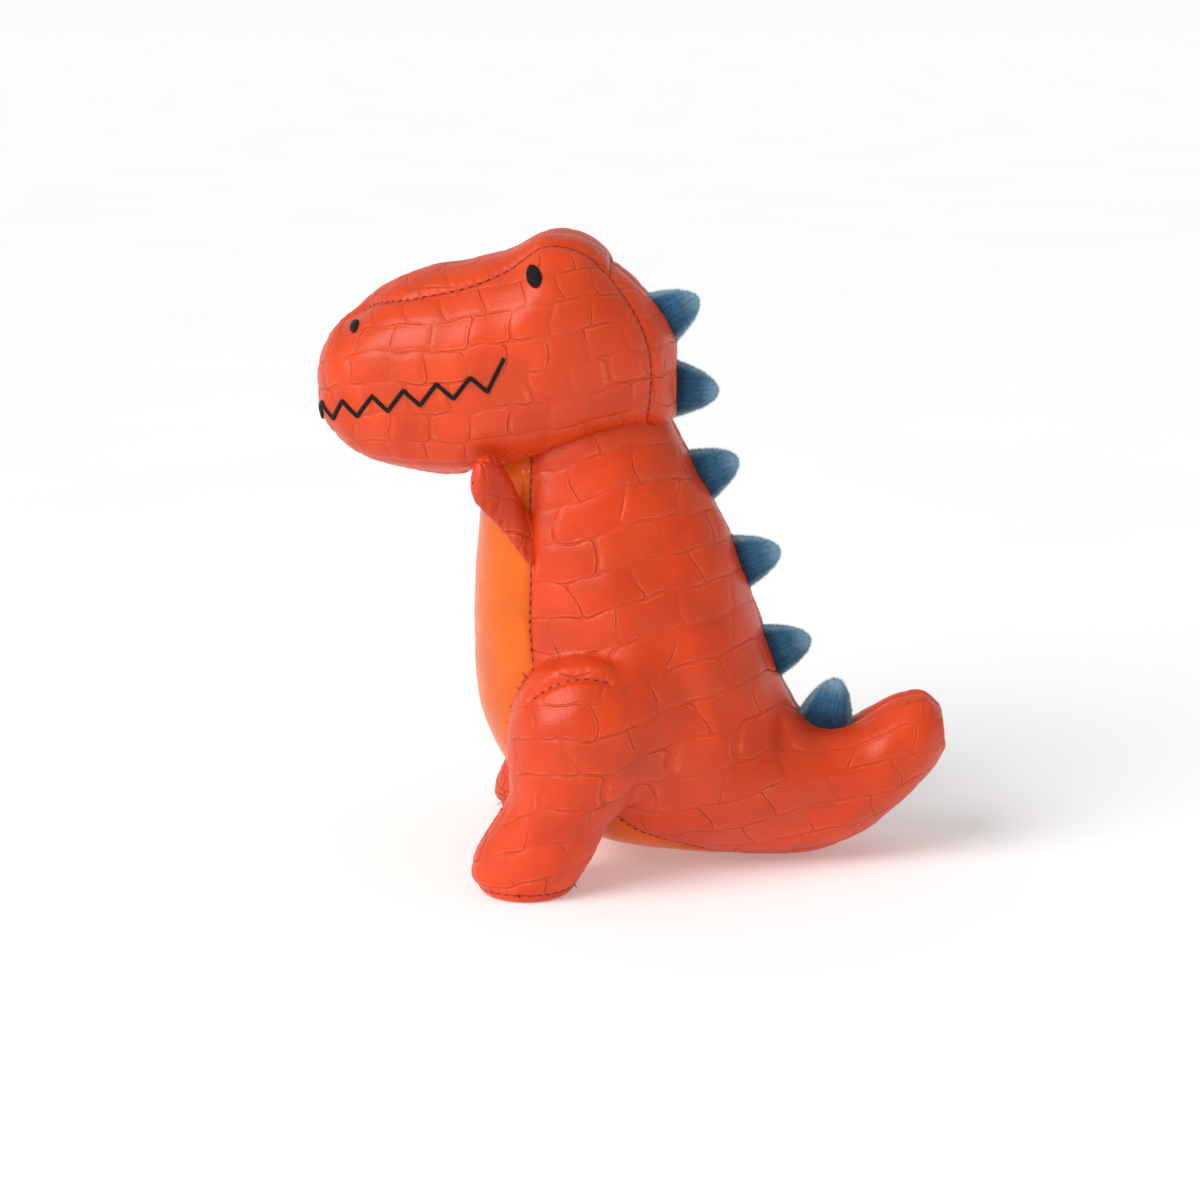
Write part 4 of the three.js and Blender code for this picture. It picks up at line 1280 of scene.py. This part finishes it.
@dataclass
class HeadBag(Bag):
    """The head: cheeks, top strip, back panels, chin and base."""

    def section(self, share: np.ndarray) -> np.ndarray:
        """y, top z, bottom z and half width share at a place along the head."""
        return through(np.array(HEAD_SECTIONS, float), share)

    def rings(self) -> np.ndarray:
        """Superellipses along the head, squarer under the middle than over it."""
        rows = self.section(np.linspace(0, 1, 130))
        turn = np.linspace(0, FULL_TURN, 96, endpoint=False)[None]
        power = np.where(np.sin(turn) > 0, HEAD_TOP_POWER, HEAD_CHIN_POWER)
        middle, tall = (rows[:, 1:2] + rows[:, 2:3]) / 2, (rows[:, 1:2] - rows[:, 2:3]) / 2
        x = np.sign(np.cos(turn)) * np.abs(np.cos(turn)) ** (2 / power) * rows[:, 3:4] * HEAD_HALF_WIDTH
        z = middle + np.sign(np.sin(turn)) * np.abs(np.sin(turn)) ** (2 / power) * tall
        return np.stack([x, np.broadcast_to(rows[:, :1], x.shape), z], -1)

    def strip_half(self, y: np.ndarray) -> np.ndarray:
        """Half width of the top strip at a place along the head."""
        rows = np.array(TOP_STRIP, float)
        share = np.interp(y, rows[:, 0], np.linspace(0, 1, len(rows)))
        return through(rows, share)[..., 1]

    def back_edge(self, z: np.ndarray) -> np.ndarray:
        """The y of the seam between cheek and back panel at a height."""
        rows = np.array(HEAD_BACK_SEAM, float)
        share = np.interp(z, rows[:, 1], np.linspace(0, 1, len(rows)))
        return through(rows, share)[..., 0]

    def chin_half(self, y: np.ndarray) -> np.ndarray:
        """Half width of the chin panel, which narrows to the nose."""
        nose = HEAD_SECTIONS[0][0]
        return np.interp(y, [nose - 9, nose + 10], [3.5, CHIN_HALF_WIDTH])

    def panels(self, sheet: Sheet) -> tuple[Sheet, np.ndarray]:
        """Labels: 0 strip, 1 and 2 cheeks, 3 and 4 back, 5 chin, 6 base, left before right."""

        def fields(points: np.ndarray) -> dict[str, np.ndarray]:
            """Signed fields, negative inside their panel."""
            x, y, z = points.T
            back = self.back_edge(z) - y
            middle = 178.0
            base = np.maximum.reduce([np.abs(x) - 25, z - 172, CHIN_END - y, y - 2])
            return {
                "strip": np.maximum.reduce([np.abs(x) - self.strip_half(y), middle - z, -back]),
                "back": np.maximum(back, -base),
                "chin": np.maximum.reduce([np.abs(x) - self.chin_half(y), z - middle, y - CHIN_END]),
                "base": base,
            }

        for key in ("strip", "back", "chin", "base"):
            sheet = sheet.cut(fields(sheet.points)[key])
        at = fields(sheet.points)
        sheet = sheet.cut(np.where((at["back"] < 0.5), sheet.points[:, 0], 1.0))
        whole = fields(sheet.points[sheet.triangles].mean(1))
        left = sheet.points[sheet.triangles].mean(1)[:, 0] > 0
        labels = np.where(left, 1, 2)
        labels = np.where(whole["back"] < 0, np.where(left, 3, 4), labels)
        labels = np.where(whole["chin"] < 0, 5, labels)
        labels = np.where(whole["base"] < 0, 6, labels)
        return sheet, np.where(whole["strip"] < 0, 0, labels)

    def on_head(self, y: np.ndarray, z: np.ndarray, side: float) -> np.ndarray:
        """A point on the head's side at (y, z): a superellipse's half width there."""
        rows = self.section(np.linspace(0, 1, 400))
        top, low, half = (np.interp(y, rows[:, 0], rows[:, i]) for i in (1, 2, 3))
        middle = (top + low) / 2
        power = np.where(z > middle, HEAD_TOP_POWER, HEAD_CHIN_POWER)
        rise = np.clip(np.abs(z - middle) / np.maximum((top - low) / 2, 1e-3), 0, 1)
        x = half * HEAD_HALF_WIDTH * (1 - rise**power) ** (1 / power)
        return np.stack([side * x, y, z], -1)

    def top_at(self, x: np.ndarray, y: np.ndarray) -> np.ndarray:
        """A point on the head's top at (x, y)."""
        rows = self.section(np.linspace(0, 1, 400))
        top, low, half = (np.interp(y, rows[:, 0], rows[:, i]) for i in (1, 2, 3))
        share = np.clip(np.abs(x) / (half * HEAD_HALF_WIDTH), 0, 1)
        rise = (1 - share**HEAD_TOP_POWER) ** (1 / HEAD_TOP_POWER)
        return np.stack([x, y, (top + low) / 2 + rise * (top - low) / 2], -1)

    def seams(self) -> list[SeamLine]:
        """Strip edges, back seams, the centre back and the chin's edges."""
        lines = []
        y = np.linspace(-117, -8, 300)
        z = np.linspace(168, 227, 160)
        under = np.linspace(-114, CHIN_END, 200)
        rows = self.section(np.linspace(0, 1, 400))
        low = np.interp(under, rows[:, 0], rows[:, 2])
        for s in (1, -1):
            lines.append(SeamLine("strip", self.top_at(s * self.strip_half(y), y)))
            lines.append(SeamLine("nape", self.on_head(self.back_edge(z), z, s)))
            lines.append(SeamLine("chin", np.stack([s * self.chin_half(under), under, low + 1.5], -1)))
        back = rows[rows[:, 0] > -8]
        lines.append(SeamLine("centre", np.stack([0 * back[:, 0], back[:, 0], back[:, 1]], -1)))
        return lines

    def build(self) -> None:
        """Makes every piece of the head."""
        self.volume = Volume((-56, -128, 138), (56, 26, 254))
        self.bag = self.volume.distances(*closed_loft(self.rings()))
        sheet, labels = self.labelled()
        normals = normals_of(sheet.points, sheet.triangles)
        move, away = self.sew(sheet, labels, normals)
        x, y, z = sheet.points.T
        top = smoothstep(-1.0, 1.0, self.strip_half(y) - np.abs(x)) * (z > 185) * (y < self.back_edge(z))
        rear = y > self.back_edge(z)
        facing = np.zeros_like(normals)
        facing[:, 0] = np.sign(x)
        facing = np.where((top > 0.5)[:, None], np.array([[0, 0, 1.0]]), facing)
        facing = np.where(rear[:, None], np.array([[0, 1.0, 0]]), facing)
        place = sheet_place(sheet.points, normals, facing, 30)
        turned = np.stack(HEAD_HIDE.turned(place[:, 0], place[:, 1]), -1)
        edge = HEAD_HIDE.inside(turned[:, 0], turned[:, 1])
        pressed = -self.press * smoothstep(-2.4, -0.1, edge) * smoothstep(0.8, 2.6, away)
        lumps = 0.7 * waves(sheet.points, 40, 21) + 0.3 * waves(sheet.points, 15, 23) * smoothstep(0, 8, away)
        crown = 1 - np.clip(np.abs(x) / self.strip_half(y), 0, 1) ** 2.2
        puff = 1.6 * top * crown * smoothstep(-112, -92, y)
        dip = -2.6 * np.exp(-((x / 12) ** 2) - ((y + 30) / 15) ** 2) * (z > 200)
        brow = 1.2 * np.exp(-(((np.abs(x) - 23) / 11) ** 2) - ((y + 31) / 12) ** 2) * (z > 200)
        amount = move + pressed + lumps + puff + dip + brow
        # Painted shade where the head sits on the neck: the seam-distance channel is lowered near the torso's
        # points, so the leather darkens there as in a seam.
        if self.touching is not None:
            low = z < 190
            away[low] = np.minimum(away[low], nearest(sheet.points[low], self.touching)[0] * 0.8 - 0.2)
        moved = sheet.points + normals * amount[:, None]
        # The third column, the distance from the nearest seam or from the neck, sets where the leather paints
        # shade.
        whole = Sheet(moved, sheet.triangles, {"hide_mm": np.column_stack([turned, away])})
        finished = normals_of(moved, sheet.triangles)
        names = {
            0: ("head_strip_skin", "head_top_strip"), 1: ("cheek_skin_left", "head_side_panel_left"),
            2: ("cheek_skin_right", "head_side_panel_right"), 3: ("nape_skin_left", "head_back_panel_left"),
            4: ("nape_skin_right", "head_back_panel_right"), 5: ("chin_skin", "chin_panel"),
            6: ("head_base_skin", "head_base_panel"),
        }
        for label, skin in self.skins(whole, labels, finished):
            name, node = names[label]
            dress(into_object(name, skin, self.wardrobe.head), "head", Slot.PRESSED, (node,))
        self.make_stitches("head", moved, finished)
        self.fill_with_fibre("head", 1.8, 0.6, 12)
        self.surface_points, self.surface_normals = moved, finished
        log.info("head surface has %d points", len(moved))


# ------------------------------------------------------------------------------
# Embroidery
# ------------------------------------------------------------------------------


@dataclass
class Face:
    """Satin-stitched eyes, nostrils and mouth."""

    wardrobe: Wardrobe
    head: HeadBag
    pitch: float = 0.46
    eye: tuple[float, float, float, float, float] = (-33.7, 221.3, 2.8, 3.6, 24)
    nostril: tuple[float, float, float, float, float] = (-99.5, 202.5, 1.4, 2.0, -25)
    mouth_width: float = 1.6
    mouth_back: float = -43.9
    mouth_height: float = 169.5
    mouth_rise: float = 16.5
    mouth_tooth: float = 6.4
    mouth_stroke: float = 6.1
    mouth_corner: float = 4.2

    def satin(self, left: np.ndarray, right: np.ndarray, crown: np.ndarray) -> Sheet:
        """Threads laid side by side from one edge to the other: each thread is a closed ridge with a rounded
        section, arched between its ends.

        Args:
            left: where each thread starts, on the surface guess.
            right: where each ends.
            crown: how high each arches.

        Returns:
            One sheet of closed ridges.
        """
        near = np.abs(self.head.surface_points - (left.mean(0) + right.mean(0)) / 2).sum(1) < 400
        ground, facing = self.head.surface_points[near], self.head.surface_normals[near]
        count = len(left)
        s = np.linspace(0, 1, 9)
        core = left[:, None] * (1 - s[None, :, None]) + right[:, None] * s[None, :, None]
        flat, up = laid(core.reshape(-1, 3), ground, facing, 1.6)
        arch = (0.1 + crown[:, None] * (1 - (2 * s[None] - 1) ** 4)).reshape(-1, 1)
        core = (flat + up * arch).reshape(count, 9, 3)
        up = up.reshape(count, 9, 3)
        way = unit(np.gradient(core, axis=1))
        side = unit(np.cross(way, up))
        turn = np.arange(8) * math.pi / 4
        thin = (0.3 * np.sqrt(np.maximum(1 - (2 * s - 1) ** 6, 0.05)))[None, :, None, None]
        return bars(
            core[:, :, None]
            + side[:, :, None] * thin * np.cos(turn)[None, None, :, None]
            + up[:, :, None] * thin * np.sin(turn)[None, None, :, None]
        )

    def oval(self, spot: tuple[float, float, float, float, float], side: float) -> Sheet:
        """An oval of level threads, each as long as the oval is wide at its height, leaning by an angle."""
        y, z, half_y, half_z, lean = spot
        turn = math.radians(lean)
        lift = np.arange(-half_z + self.pitch / 2, half_z, self.pitch)
        reach = half_y * np.sqrt(1 - (lift / half_z) ** 2) + 0.15
        edges = []
        for s in (-1, 1):
            dy, dz = s * reach, lift + 0.12 * s
            edges.append(
                self.head.on_head(y + dy * math.cos(turn) - dz * math.sin(turn),
                                  z + dy * math.sin(turn) + dz * math.cos(turn), side)
            )
        crown = 0.35 + 0.75 * np.sqrt(np.maximum(1 - (lift / half_z) ** 2, 0))
        return self.satin(edges[0], edges[1], crown)

    def mouth(self) -> Sheet:
        """A zigzag round the nose from one raised corner to the other, of short threads across its line."""
        nose = HEAD_SECTIONS[0][0]
        runs = np.linspace(self.mouth_back, nose + 6, 200), np.linspace(nose + 6, nose + 0.8, 160)
        y = np.concatenate(runs)
        front = nose - 5.6
        z = self.mouth_height + self.mouth_rise * (y - front) / (self.mouth_back - front)
        half = self.head.on_head(y, z, 1.0)
        guide = np.vstack([half, (half * np.array([-1, 1, 1]))[::-1]])
        steps = np.linalg.norm(np.diff(guide, axis=0), axis=1)
        along = np.concatenate([[0], np.cumsum(steps)])
        strokes = 2 * round(along[-1] / self.mouth_stroke / 2)
        fine = np.linspace(0, along[-1], strokes * 40 + 1)
        line = np.stack([np.interp(fine, along, column) for column in guide.T], -1)
        phase = fine / along[-1] * strokes
        saw = 2 * np.abs(np.mod(phase, 2) - 1) - 1
        last = along[-1] / strokes
        corner = np.maximum(1 - np.minimum(fine, along[-1] - fine) / last, 0) * self.mouth_corner
        line[:, 2] += saw * self.mouth_tooth / 2 + corner
        at, _ = spaced(line, self.pitch)
        way = unit(np.gradient(at, axis=0))
        _, up = laid(at, self.head.surface_points, self.head.surface_normals, 1.6)
        across = unit(np.cross(way, up)) * self.mouth_width / 2
        return self.satin(at - across, at + across, np.full(len(at), 0.55))

    def build(self) -> None:
        """Makes the embroidery."""
        for side, word in ((1.0, "left"), (-1.0, "right")):
            eye = into_object(f"eye_satin_{word}", self.oval(self.eye, side), self.wardrobe.satin)
            dress(eye, "head", Slot.THREAD, (f"eye_{word}",))
            nostril = into_object(f"nostril_satin_{word}", self.oval(self.nostril, side), self.wardrobe.satin)
            dress(nostril, "head", Slot.THREAD, (f"nostril_{word}",))
        mouth = into_object("mouth_satin", self.mouth(), self.wardrobe.satin)
        dress(mouth, "head", Slot.THREAD, ("mouth_stitching",))


# ------------------------------------------------------------------------------
# Spikes
# ------------------------------------------------------------------------------


@dataclass
class Spikes:
    """Six velvet spikes along the back seam, each two faces over a pinch of stuffing."""

    wardrobe: Wardrobe
    base: float = 21.5
    height: float = 14.8
    thickness: float = 12.0
    root: float = 4.0
    starts: tuple[tuple[float, float, int], ...] = ((32.5, 36.0, 4), (31.0, 28.0, 2))

    def lines(self) -> list[tuple[str, np.ndarray, np.ndarray]]:
        """Body, and the two ends of the seam stretch that each spike stands on, from the crown down."""
        head_rows = np.array(HEAD_SECTIONS[-5:], float)
        path = [(0, y, top) for y, top, _, _ in head_rows]
        path.append((0, head_rows[-1, 0] + 0.5, head_rows[-1, 2] - 10))
        head_line = through(path, np.linspace(0, 1, 600))
        torso_line = through([(0, *p) for p in TORSO_BACK], np.linspace(0, 1, 1200))
        made = []
        for body, line, (start, pitch, count) in (
            ("head", head_line, self.starts[1]), ("torso", torso_line, self.starts[0])
        ):
            along = np.concatenate([[0], np.cumsum(np.linalg.norm(np.diff(line, axis=0), axis=1))])
            for i in range(count):
                ends = [start + i * pitch, start + i * pitch + self.base]
                a, b = (np.array([np.interp(e, along, column) for column in line.T]) for e in ends)
                made.append((body, a, b))
        return made

    def face(self, a: np.ndarray, b: np.ndarray, side: float, shrink: float = 0.0) -> Sheet:
        """One face of a spike. With s from -1 to 1 along the seam and h from 0 at the root to 1 at the tip,
        the outline's half length is 0.62 (1 - h)^0.85 + 0.38 sqrt(1 - h^4), a triangle with a rounded tip,
        and the face stands off the middle plane by the thickness times (1 - h^2.2)^0.7 sqrt(1 - s^2.2), with
        a fine ripple along s."""
        middle, along = (a + b) / 2, unit(b - a)
        out = np.array([0, -along[2], along[1]])
        s = np.sin(np.linspace(-math.pi / 2, math.pi / 2, 49))[None]
        h = (1 - np.cos(np.linspace(0, math.pi, 35)))[:, None] / 2
        tall = self.height + self.root - shrink
        body = (1 - h) ** 0.85 * 0.62 + 0.38 * np.sqrt(np.maximum(1 - h**4, 0))
        half = (self.base / 2 + 0.6 - shrink) * body
        swell = np.sqrt(np.maximum(1 - np.abs(s) ** 2.2, 0)) * (1 - h**2.2) ** 0.7
        ripple = 1 + 0.03 * np.sin(s * half * 3.1) * (h > 0.05)
        off = (self.thickness / 2 - shrink) * swell * ripple
        lean = 0.6 * h**2
        run = s * half + lean
        lift = h * tall - self.root - 0.5 * (1 - h) * np.abs(s) ** 2
        points = middle + run[..., None] * along + lift[..., None] * out
        points = points + (side * off)[..., None] * np.array([1.0, 0, 0])
        # rim: nearness to the outline and the tip, where the velvet paints a pale sheen.
        rim = np.maximum(np.abs(s) ** 3, np.broadcast_to(h, run.shape) ** 1.8)
        triangles = lattice(run.shape)
        # pile_mm: run along the seam, lift above the root, which the velvet darkens near zero as painted
        # shade, and rim.
        pile = np.stack([run, np.broadcast_to(lift, run.shape), rim], -1).reshape(-1, 3)
        sheet = Sheet(points.reshape(-1, 3), triangles, {"pile_mm": pile})
        facing = normals_of(sheet.points, triangles).mean(0)
        if facing[0] * side < 0:
            sheet.triangles = triangles[:, ::-1]
        return sheet

    def pile(self, sheet: Sheet, seed: int, count: int) -> Sheet:
        """Short hairs: three-sided needles whose roots are drawn evenly over the face by area, and which lean
        by a drawn amount."""
        draw = np.random.default_rng(seed)
        corners = sheet.points[sheet.triangles]
        area = np.linalg.norm(np.cross(corners[:, 1] - corners[:, 0], corners[:, 2] - corners[:, 0]), axis=1)
        chosen = draw.choice(len(area), count, p=area / area.sum())
        u, v = draw.uniform(size=(2, count, 1))
        flip = u + v > 1
        u, v = np.where(flip, 1 - u, u), np.where(flip, 1 - v, v)
        c = corners[chosen]
        at = c[:, 0] + u * (c[:, 1] - c[:, 0]) + v * (c[:, 2] - c[:, 0])
        up = unit(np.cross(c[:, 1] - c[:, 0], c[:, 2] - c[:, 0]))
        pile = sheet.values["pile_mm"][sheet.triangles[chosen]].mean(1)
        way = unit(up + draw.normal(0, 0.35, (count, 3)))
        long = draw.uniform(0.5, 1.25, (count, 1))
        side = unit(np.cross(way, draw.normal(size=(count, 3)))) * 0.055
        other = np.cross(way, side)
        ring = [at + side - way * 0.1, at - side * 0.5 + other * 0.87 - way * 0.1,
                at - side * 0.5 - other * 0.87 - way * 0.1, at + way * long]
        points = np.stack(ring, 1).reshape(-1, 3)
        base = np.arange(count)[:, None] * 4
        shape = np.array([[0, 1, 3], [1, 2, 3], [2, 0, 3], [0, 2, 1]])
        triangles = (base[:, :, None] + shape[None]).reshape(-1, 3)
        corner = points[triangles[0]]
        out = np.dot(np.cross(corner[1] - corner[0], corner[2] - corner[0]),
                     corner.mean(0) - points[:4].mean(0))
        values = np.repeat(pile, 4, 0)
        # The hairs' tips count as rim, so the velvet paints them with the pale sheen.
        values[3::4, 2] = np.maximum(values[3::4, 2], 0.8)
        return Sheet(points, triangles if out > 0 else triangles[:, ::-1], {"pile_mm": values})

    def build(self) -> None:
        """Makes every spike."""
        for number, (body, a, b) in enumerate(self.lines(), 1):
            for side, word in ((1.0, "left"), (-1.0, "right")):
                face = self.face(a, b, side)
                pile = self.pile(face, 100 + number * 2 + int(side > 0), HAIRS)
                piece = into_object(f"spike_{number}_pile_{word}", joined(face, pile), self.wardrobe.velvet)
                dress(piece, body, Slot.VELVET, (f"spike_{number}_velvet_{word}",))
            inner = joined(self.face(a, b, 1.0, 1.3), self.face(a, b, -1.0, 1.3))
            piece = into_object(f"spike_{number}_filling", inner, self.wardrobe.fibre)
            dress(piece, body, Slot.STUFFING, (f"spike_{number}_stuffing",))


# ------------------------------------------------------------------------------
# Arms
# ------------------------------------------------------------------------------


@dataclass
class Arm(Bag):
    """One arm: a padded paddle with a seam round its edge, of an outer and an inner face."""

    side: float = 1.0
    reach: float = 23.0
    tip: float = 11.5
    base: float = 21.0
    rise: float = 20.5
    thickness: float = 10.0
    origin: tuple[float, float, float] = (34.51, -36.08, 127.61)
    up: tuple[float, float, float] = (-0.2259, -0.0872, 0.9702)
    ahead: tuple[float, float, float] = (0.5561, -0.8293, 0.0549)

    def face(self, sign: float, shrink: float = 0.0) -> Sheet:
        """One face. With a from 0 at the seam to 1 at the tip and c from -1 to 1 across, the outline is a
        smooth curve through the arm's stations, and the face stands off its middle plane by the thickness
        times (1 - |c|^2.6)^0.6."""
        origin, up, ahead = (np.array(v) for v in (self.origin, self.up, self.ahead))
        flat = np.cross(ahead, up)
        root, rise, tip = self.base / 2, self.rise, self.tip
        stations = np.array([
            [-0.14, -2.0, root - 1.5, 0.2], [0.045, 0.8, root - 0.5, 0.3],
            [0.22, rise * 0.34, root + 0.8, 0.68], [0.44, rise * 0.7, root + 1.6, 0.95],
            [0.62, rise * 0.9, tip + 0.6, 1], [0.82, rise, tip * 0.84, 0.92],
            [0.95, rise, tip * 0.52, 0.66], [1, rise, 0.35, 0.1],
        ])
        share = 1 - (1 - np.linspace(0, 1, 90)) ** 1.5
        rows = through(stations, share)
        c = np.sin(np.linspace(-math.pi / 2, math.pi / 2, 81))[None]
        lift = up[None] + (np.array([0, 0, 1.0]) - up)[None] * np.clip(rows[:, :1], 0, 1)
        half = np.maximum(rows[:, 2:3] - shrink, 0.2)
        thick = np.maximum(rows[:, 3:4] * self.thickness / 2 - shrink, 0.15)
        off = sign * thick * (1 - np.abs(c) ** 2.6) ** 0.6
        span = rows[:, 1:2] + c * half
        run = rows[:, :1] * (self.reach - shrink)
        points = origin + run[..., None] * ahead + span[..., None] * lift[:, None] + off[..., None] * flat
        edge_off = (1 - np.abs(c)) * half
        away = np.minimum(edge_off, (1 - rows[:, :1]) * self.reach)
        place = np.stack(np.broadcast_arrays(-run, span), -1)
        turned = np.stack(ARM_HIDE.turned(place[..., 0], place[..., 1]), -1)
        edge = ARM_HIDE.inside(turned[..., 0], turned[..., 1])
        triangles = lattice(off.shape)
        flatpoints = points.reshape(-1, 3)
        normals = normals_of(flatpoints, triangles)
        if (normals @ flat).mean() * sign < 0:
            triangles, normals = triangles[:, ::-1], -normals
        if shrink == 0:
            press = -0.25 * smoothstep(-2.2, -0.1, edge) * smoothstep(0.6, 2.4, away)
            fade = np.exp(-edge_off / 2.0) * smoothstep(0, 1, edge_off)
            ripple = 0.3 * np.cos(FULL_TURN * run / STITCH_PITCH) * fade
            lump = 0.35 * waves(flatpoints, 13, 31).reshape(off.shape) * smoothstep(0, 4, away)
            flatpoints = flatpoints + normals * (press + ripple + lump).reshape(-1, 1)
        # The third column, from the distance to the edge seam, sets where the leather paints shade along that
        # seam.
        values = {"hide_mm": np.column_stack([turned.reshape(-1, 2), away.reshape(-1) * 0.8 + 0.3])}
        if self.side < 0:
            flatpoints = flatpoints * np.array([-1.0, 1, 1])
            triangles = triangles[:, ::-1]
        return Sheet(flatpoints, triangles, values)

    def build(self) -> None:
        """Makes the arm's pieces."""
        word = "left" if self.side > 0 else "right"
        body = f"arm_{word}"
        for sign, name in ((1.0, "outer"), (-1.0, "inner")):
            piece = into_object(f"arm_{name}_skin_{word}", self.face(sign), self.wardrobe.arm)
            dress(piece, body, Slot.PRESSED, (f"arm_{name}_{word}",))
        inner = joined(self.face(1.0, 1.5), self.face(-1.0, 1.5))
        piece = into_object(f"arm_filling_{word}", inner, self.wardrobe.fibre)
        dress(piece, body, Slot.STUFFING, (f"arm_stuffing_{word}",))


# ------------------------------------------------------------------------------
# Studio
# ------------------------------------------------------------------------------


@dataclass
class Studio:
    """Camera, floor and soft light."""

    azimuth_deg: float = 92.5
    elevation_deg: float = 12.5
    distance: float = 1.0
    lens_mm: float = 80.0
    aim: tuple[float, float, float] = (0.0, -0.012, 0.097)
    floor_reach: float = 40000.0

    def build(self) -> None:
        """Sets everything up."""
        scene = bpy.context.scene
        scene.view_settings.view_transform = "Standard"
        data = bpy.data.cameras.new("camera")
        data.lens, data.sensor_width = self.lens_mm, 36.0
        camera = bpy.data.objects.new("camera", data)
        scene.collection.objects.link(camera)
        az, el = math.radians(self.azimuth_deg), math.radians(self.elevation_deg)
        way = Vector((math.cos(el) * math.sin(az), -math.cos(el) * math.cos(az), math.sin(el)))
        camera.location = Vector(self.aim) + way * self.distance
        camera.rotation_euler = (-way).to_track_quat("-Z", "Y").to_euler()
        scene.camera = camera
        self.floor()
        scene.world = self.sky()
        sun = self.lamp("sun", "SUN", (0.55, -0.62, 0.78))
        sun.energy, sun.angle = 1.9, math.radians(40)
        box = self.lamp("softbox", "AREA", (0.75, -0.75, 0.75))
        box.energy, box.size = 2.0, 0.5

    def sky(self) -> bpy.types.World:
        """A white surround, brightest at and below the horizon."""
        world = bpy.data.worlds.new("studio")
        s = Shader("studio", world)
        place = s.node("ShaderNodeTexCoord").outputs["Generated"]
        split = s.node("ShaderNodeSeparateXYZ", {}, {0: place})
        levels = {"From Min": 0.02, "From Max": 0.3, "To Min": 0.97, "To Max": 0.42}
        levels["Value"] = split.outputs["Z"]
        level = s.node("ShaderNodeMapRange", {"interpolation_type": "SMOOTHSTEP"}, levels)
        light = s.node("ShaderNodeBackground", {}, {"Color": WHITE, "Strength": level.outputs[0]})
        s.node("ShaderNodeOutputWorld", {}, {"Surface": light.outputs[0]})
        return world

    def floor(self) -> None:
        """A plain pale floor, wide enough that its edge isn't seen."""
        corners = np.array([[-1, -1, 0], [1, -1, 0], [1, 1, 0], [-1, 1, 0]], float)
        sheet = Sheet(corners * self.floor_reach, np.array([[0, 1, 2], [0, 2, 3]]))
        s = Shader("pale_floor")
        tint = s.blend(s.noise(300.0).ramp(0.3, 0.7), (0.9, 0.9, 0.9, 1), (0.92, 0.92, 0.92, 1))
        material = s.finish(
            Base_Color=tint, Roughness=0.9, Specular_IOR_Level=0.1,
            Emission_Color=tint, Emission_Strength=0.26,
        )
        into_object("floor", sheet, material)

    def lamp(self, name: str, kind: str, place: tuple[float, float, float]) -> bpy.types.Light:
        """A light of a kind at a place, facing the toy."""
        data = bpy.data.lights.new(name, kind)
        made = bpy.data.objects.new(name, data)
        made.location = place
        made.rotation_euler = (Vector(self.aim) - Vector(place)).to_track_quat("-Z", "Y").to_euler()
        bpy.context.scene.collection.objects.link(made)
        return data


def main() -> None:
    """Builds the toy and the studio."""
    logging.basicConfig(level=logging.INFO, format="%(message)s")
    Studio().build()
    wardrobe = Wardrobe()
    torso = TorsoBag(wardrobe)
    torso.build()
    neck = torso.surface_points[torso.surface_points[:, 2] > 138]
    head = HeadBag(wardrobe, touching=neck)
    head.build()
    Face(wardrobe, head).build()
    Spikes(wardrobe).build()
    for side in (1.0, -1.0):
        Arm(wardrobe, side=side).build()


if __name__ == "__main__":
    main()
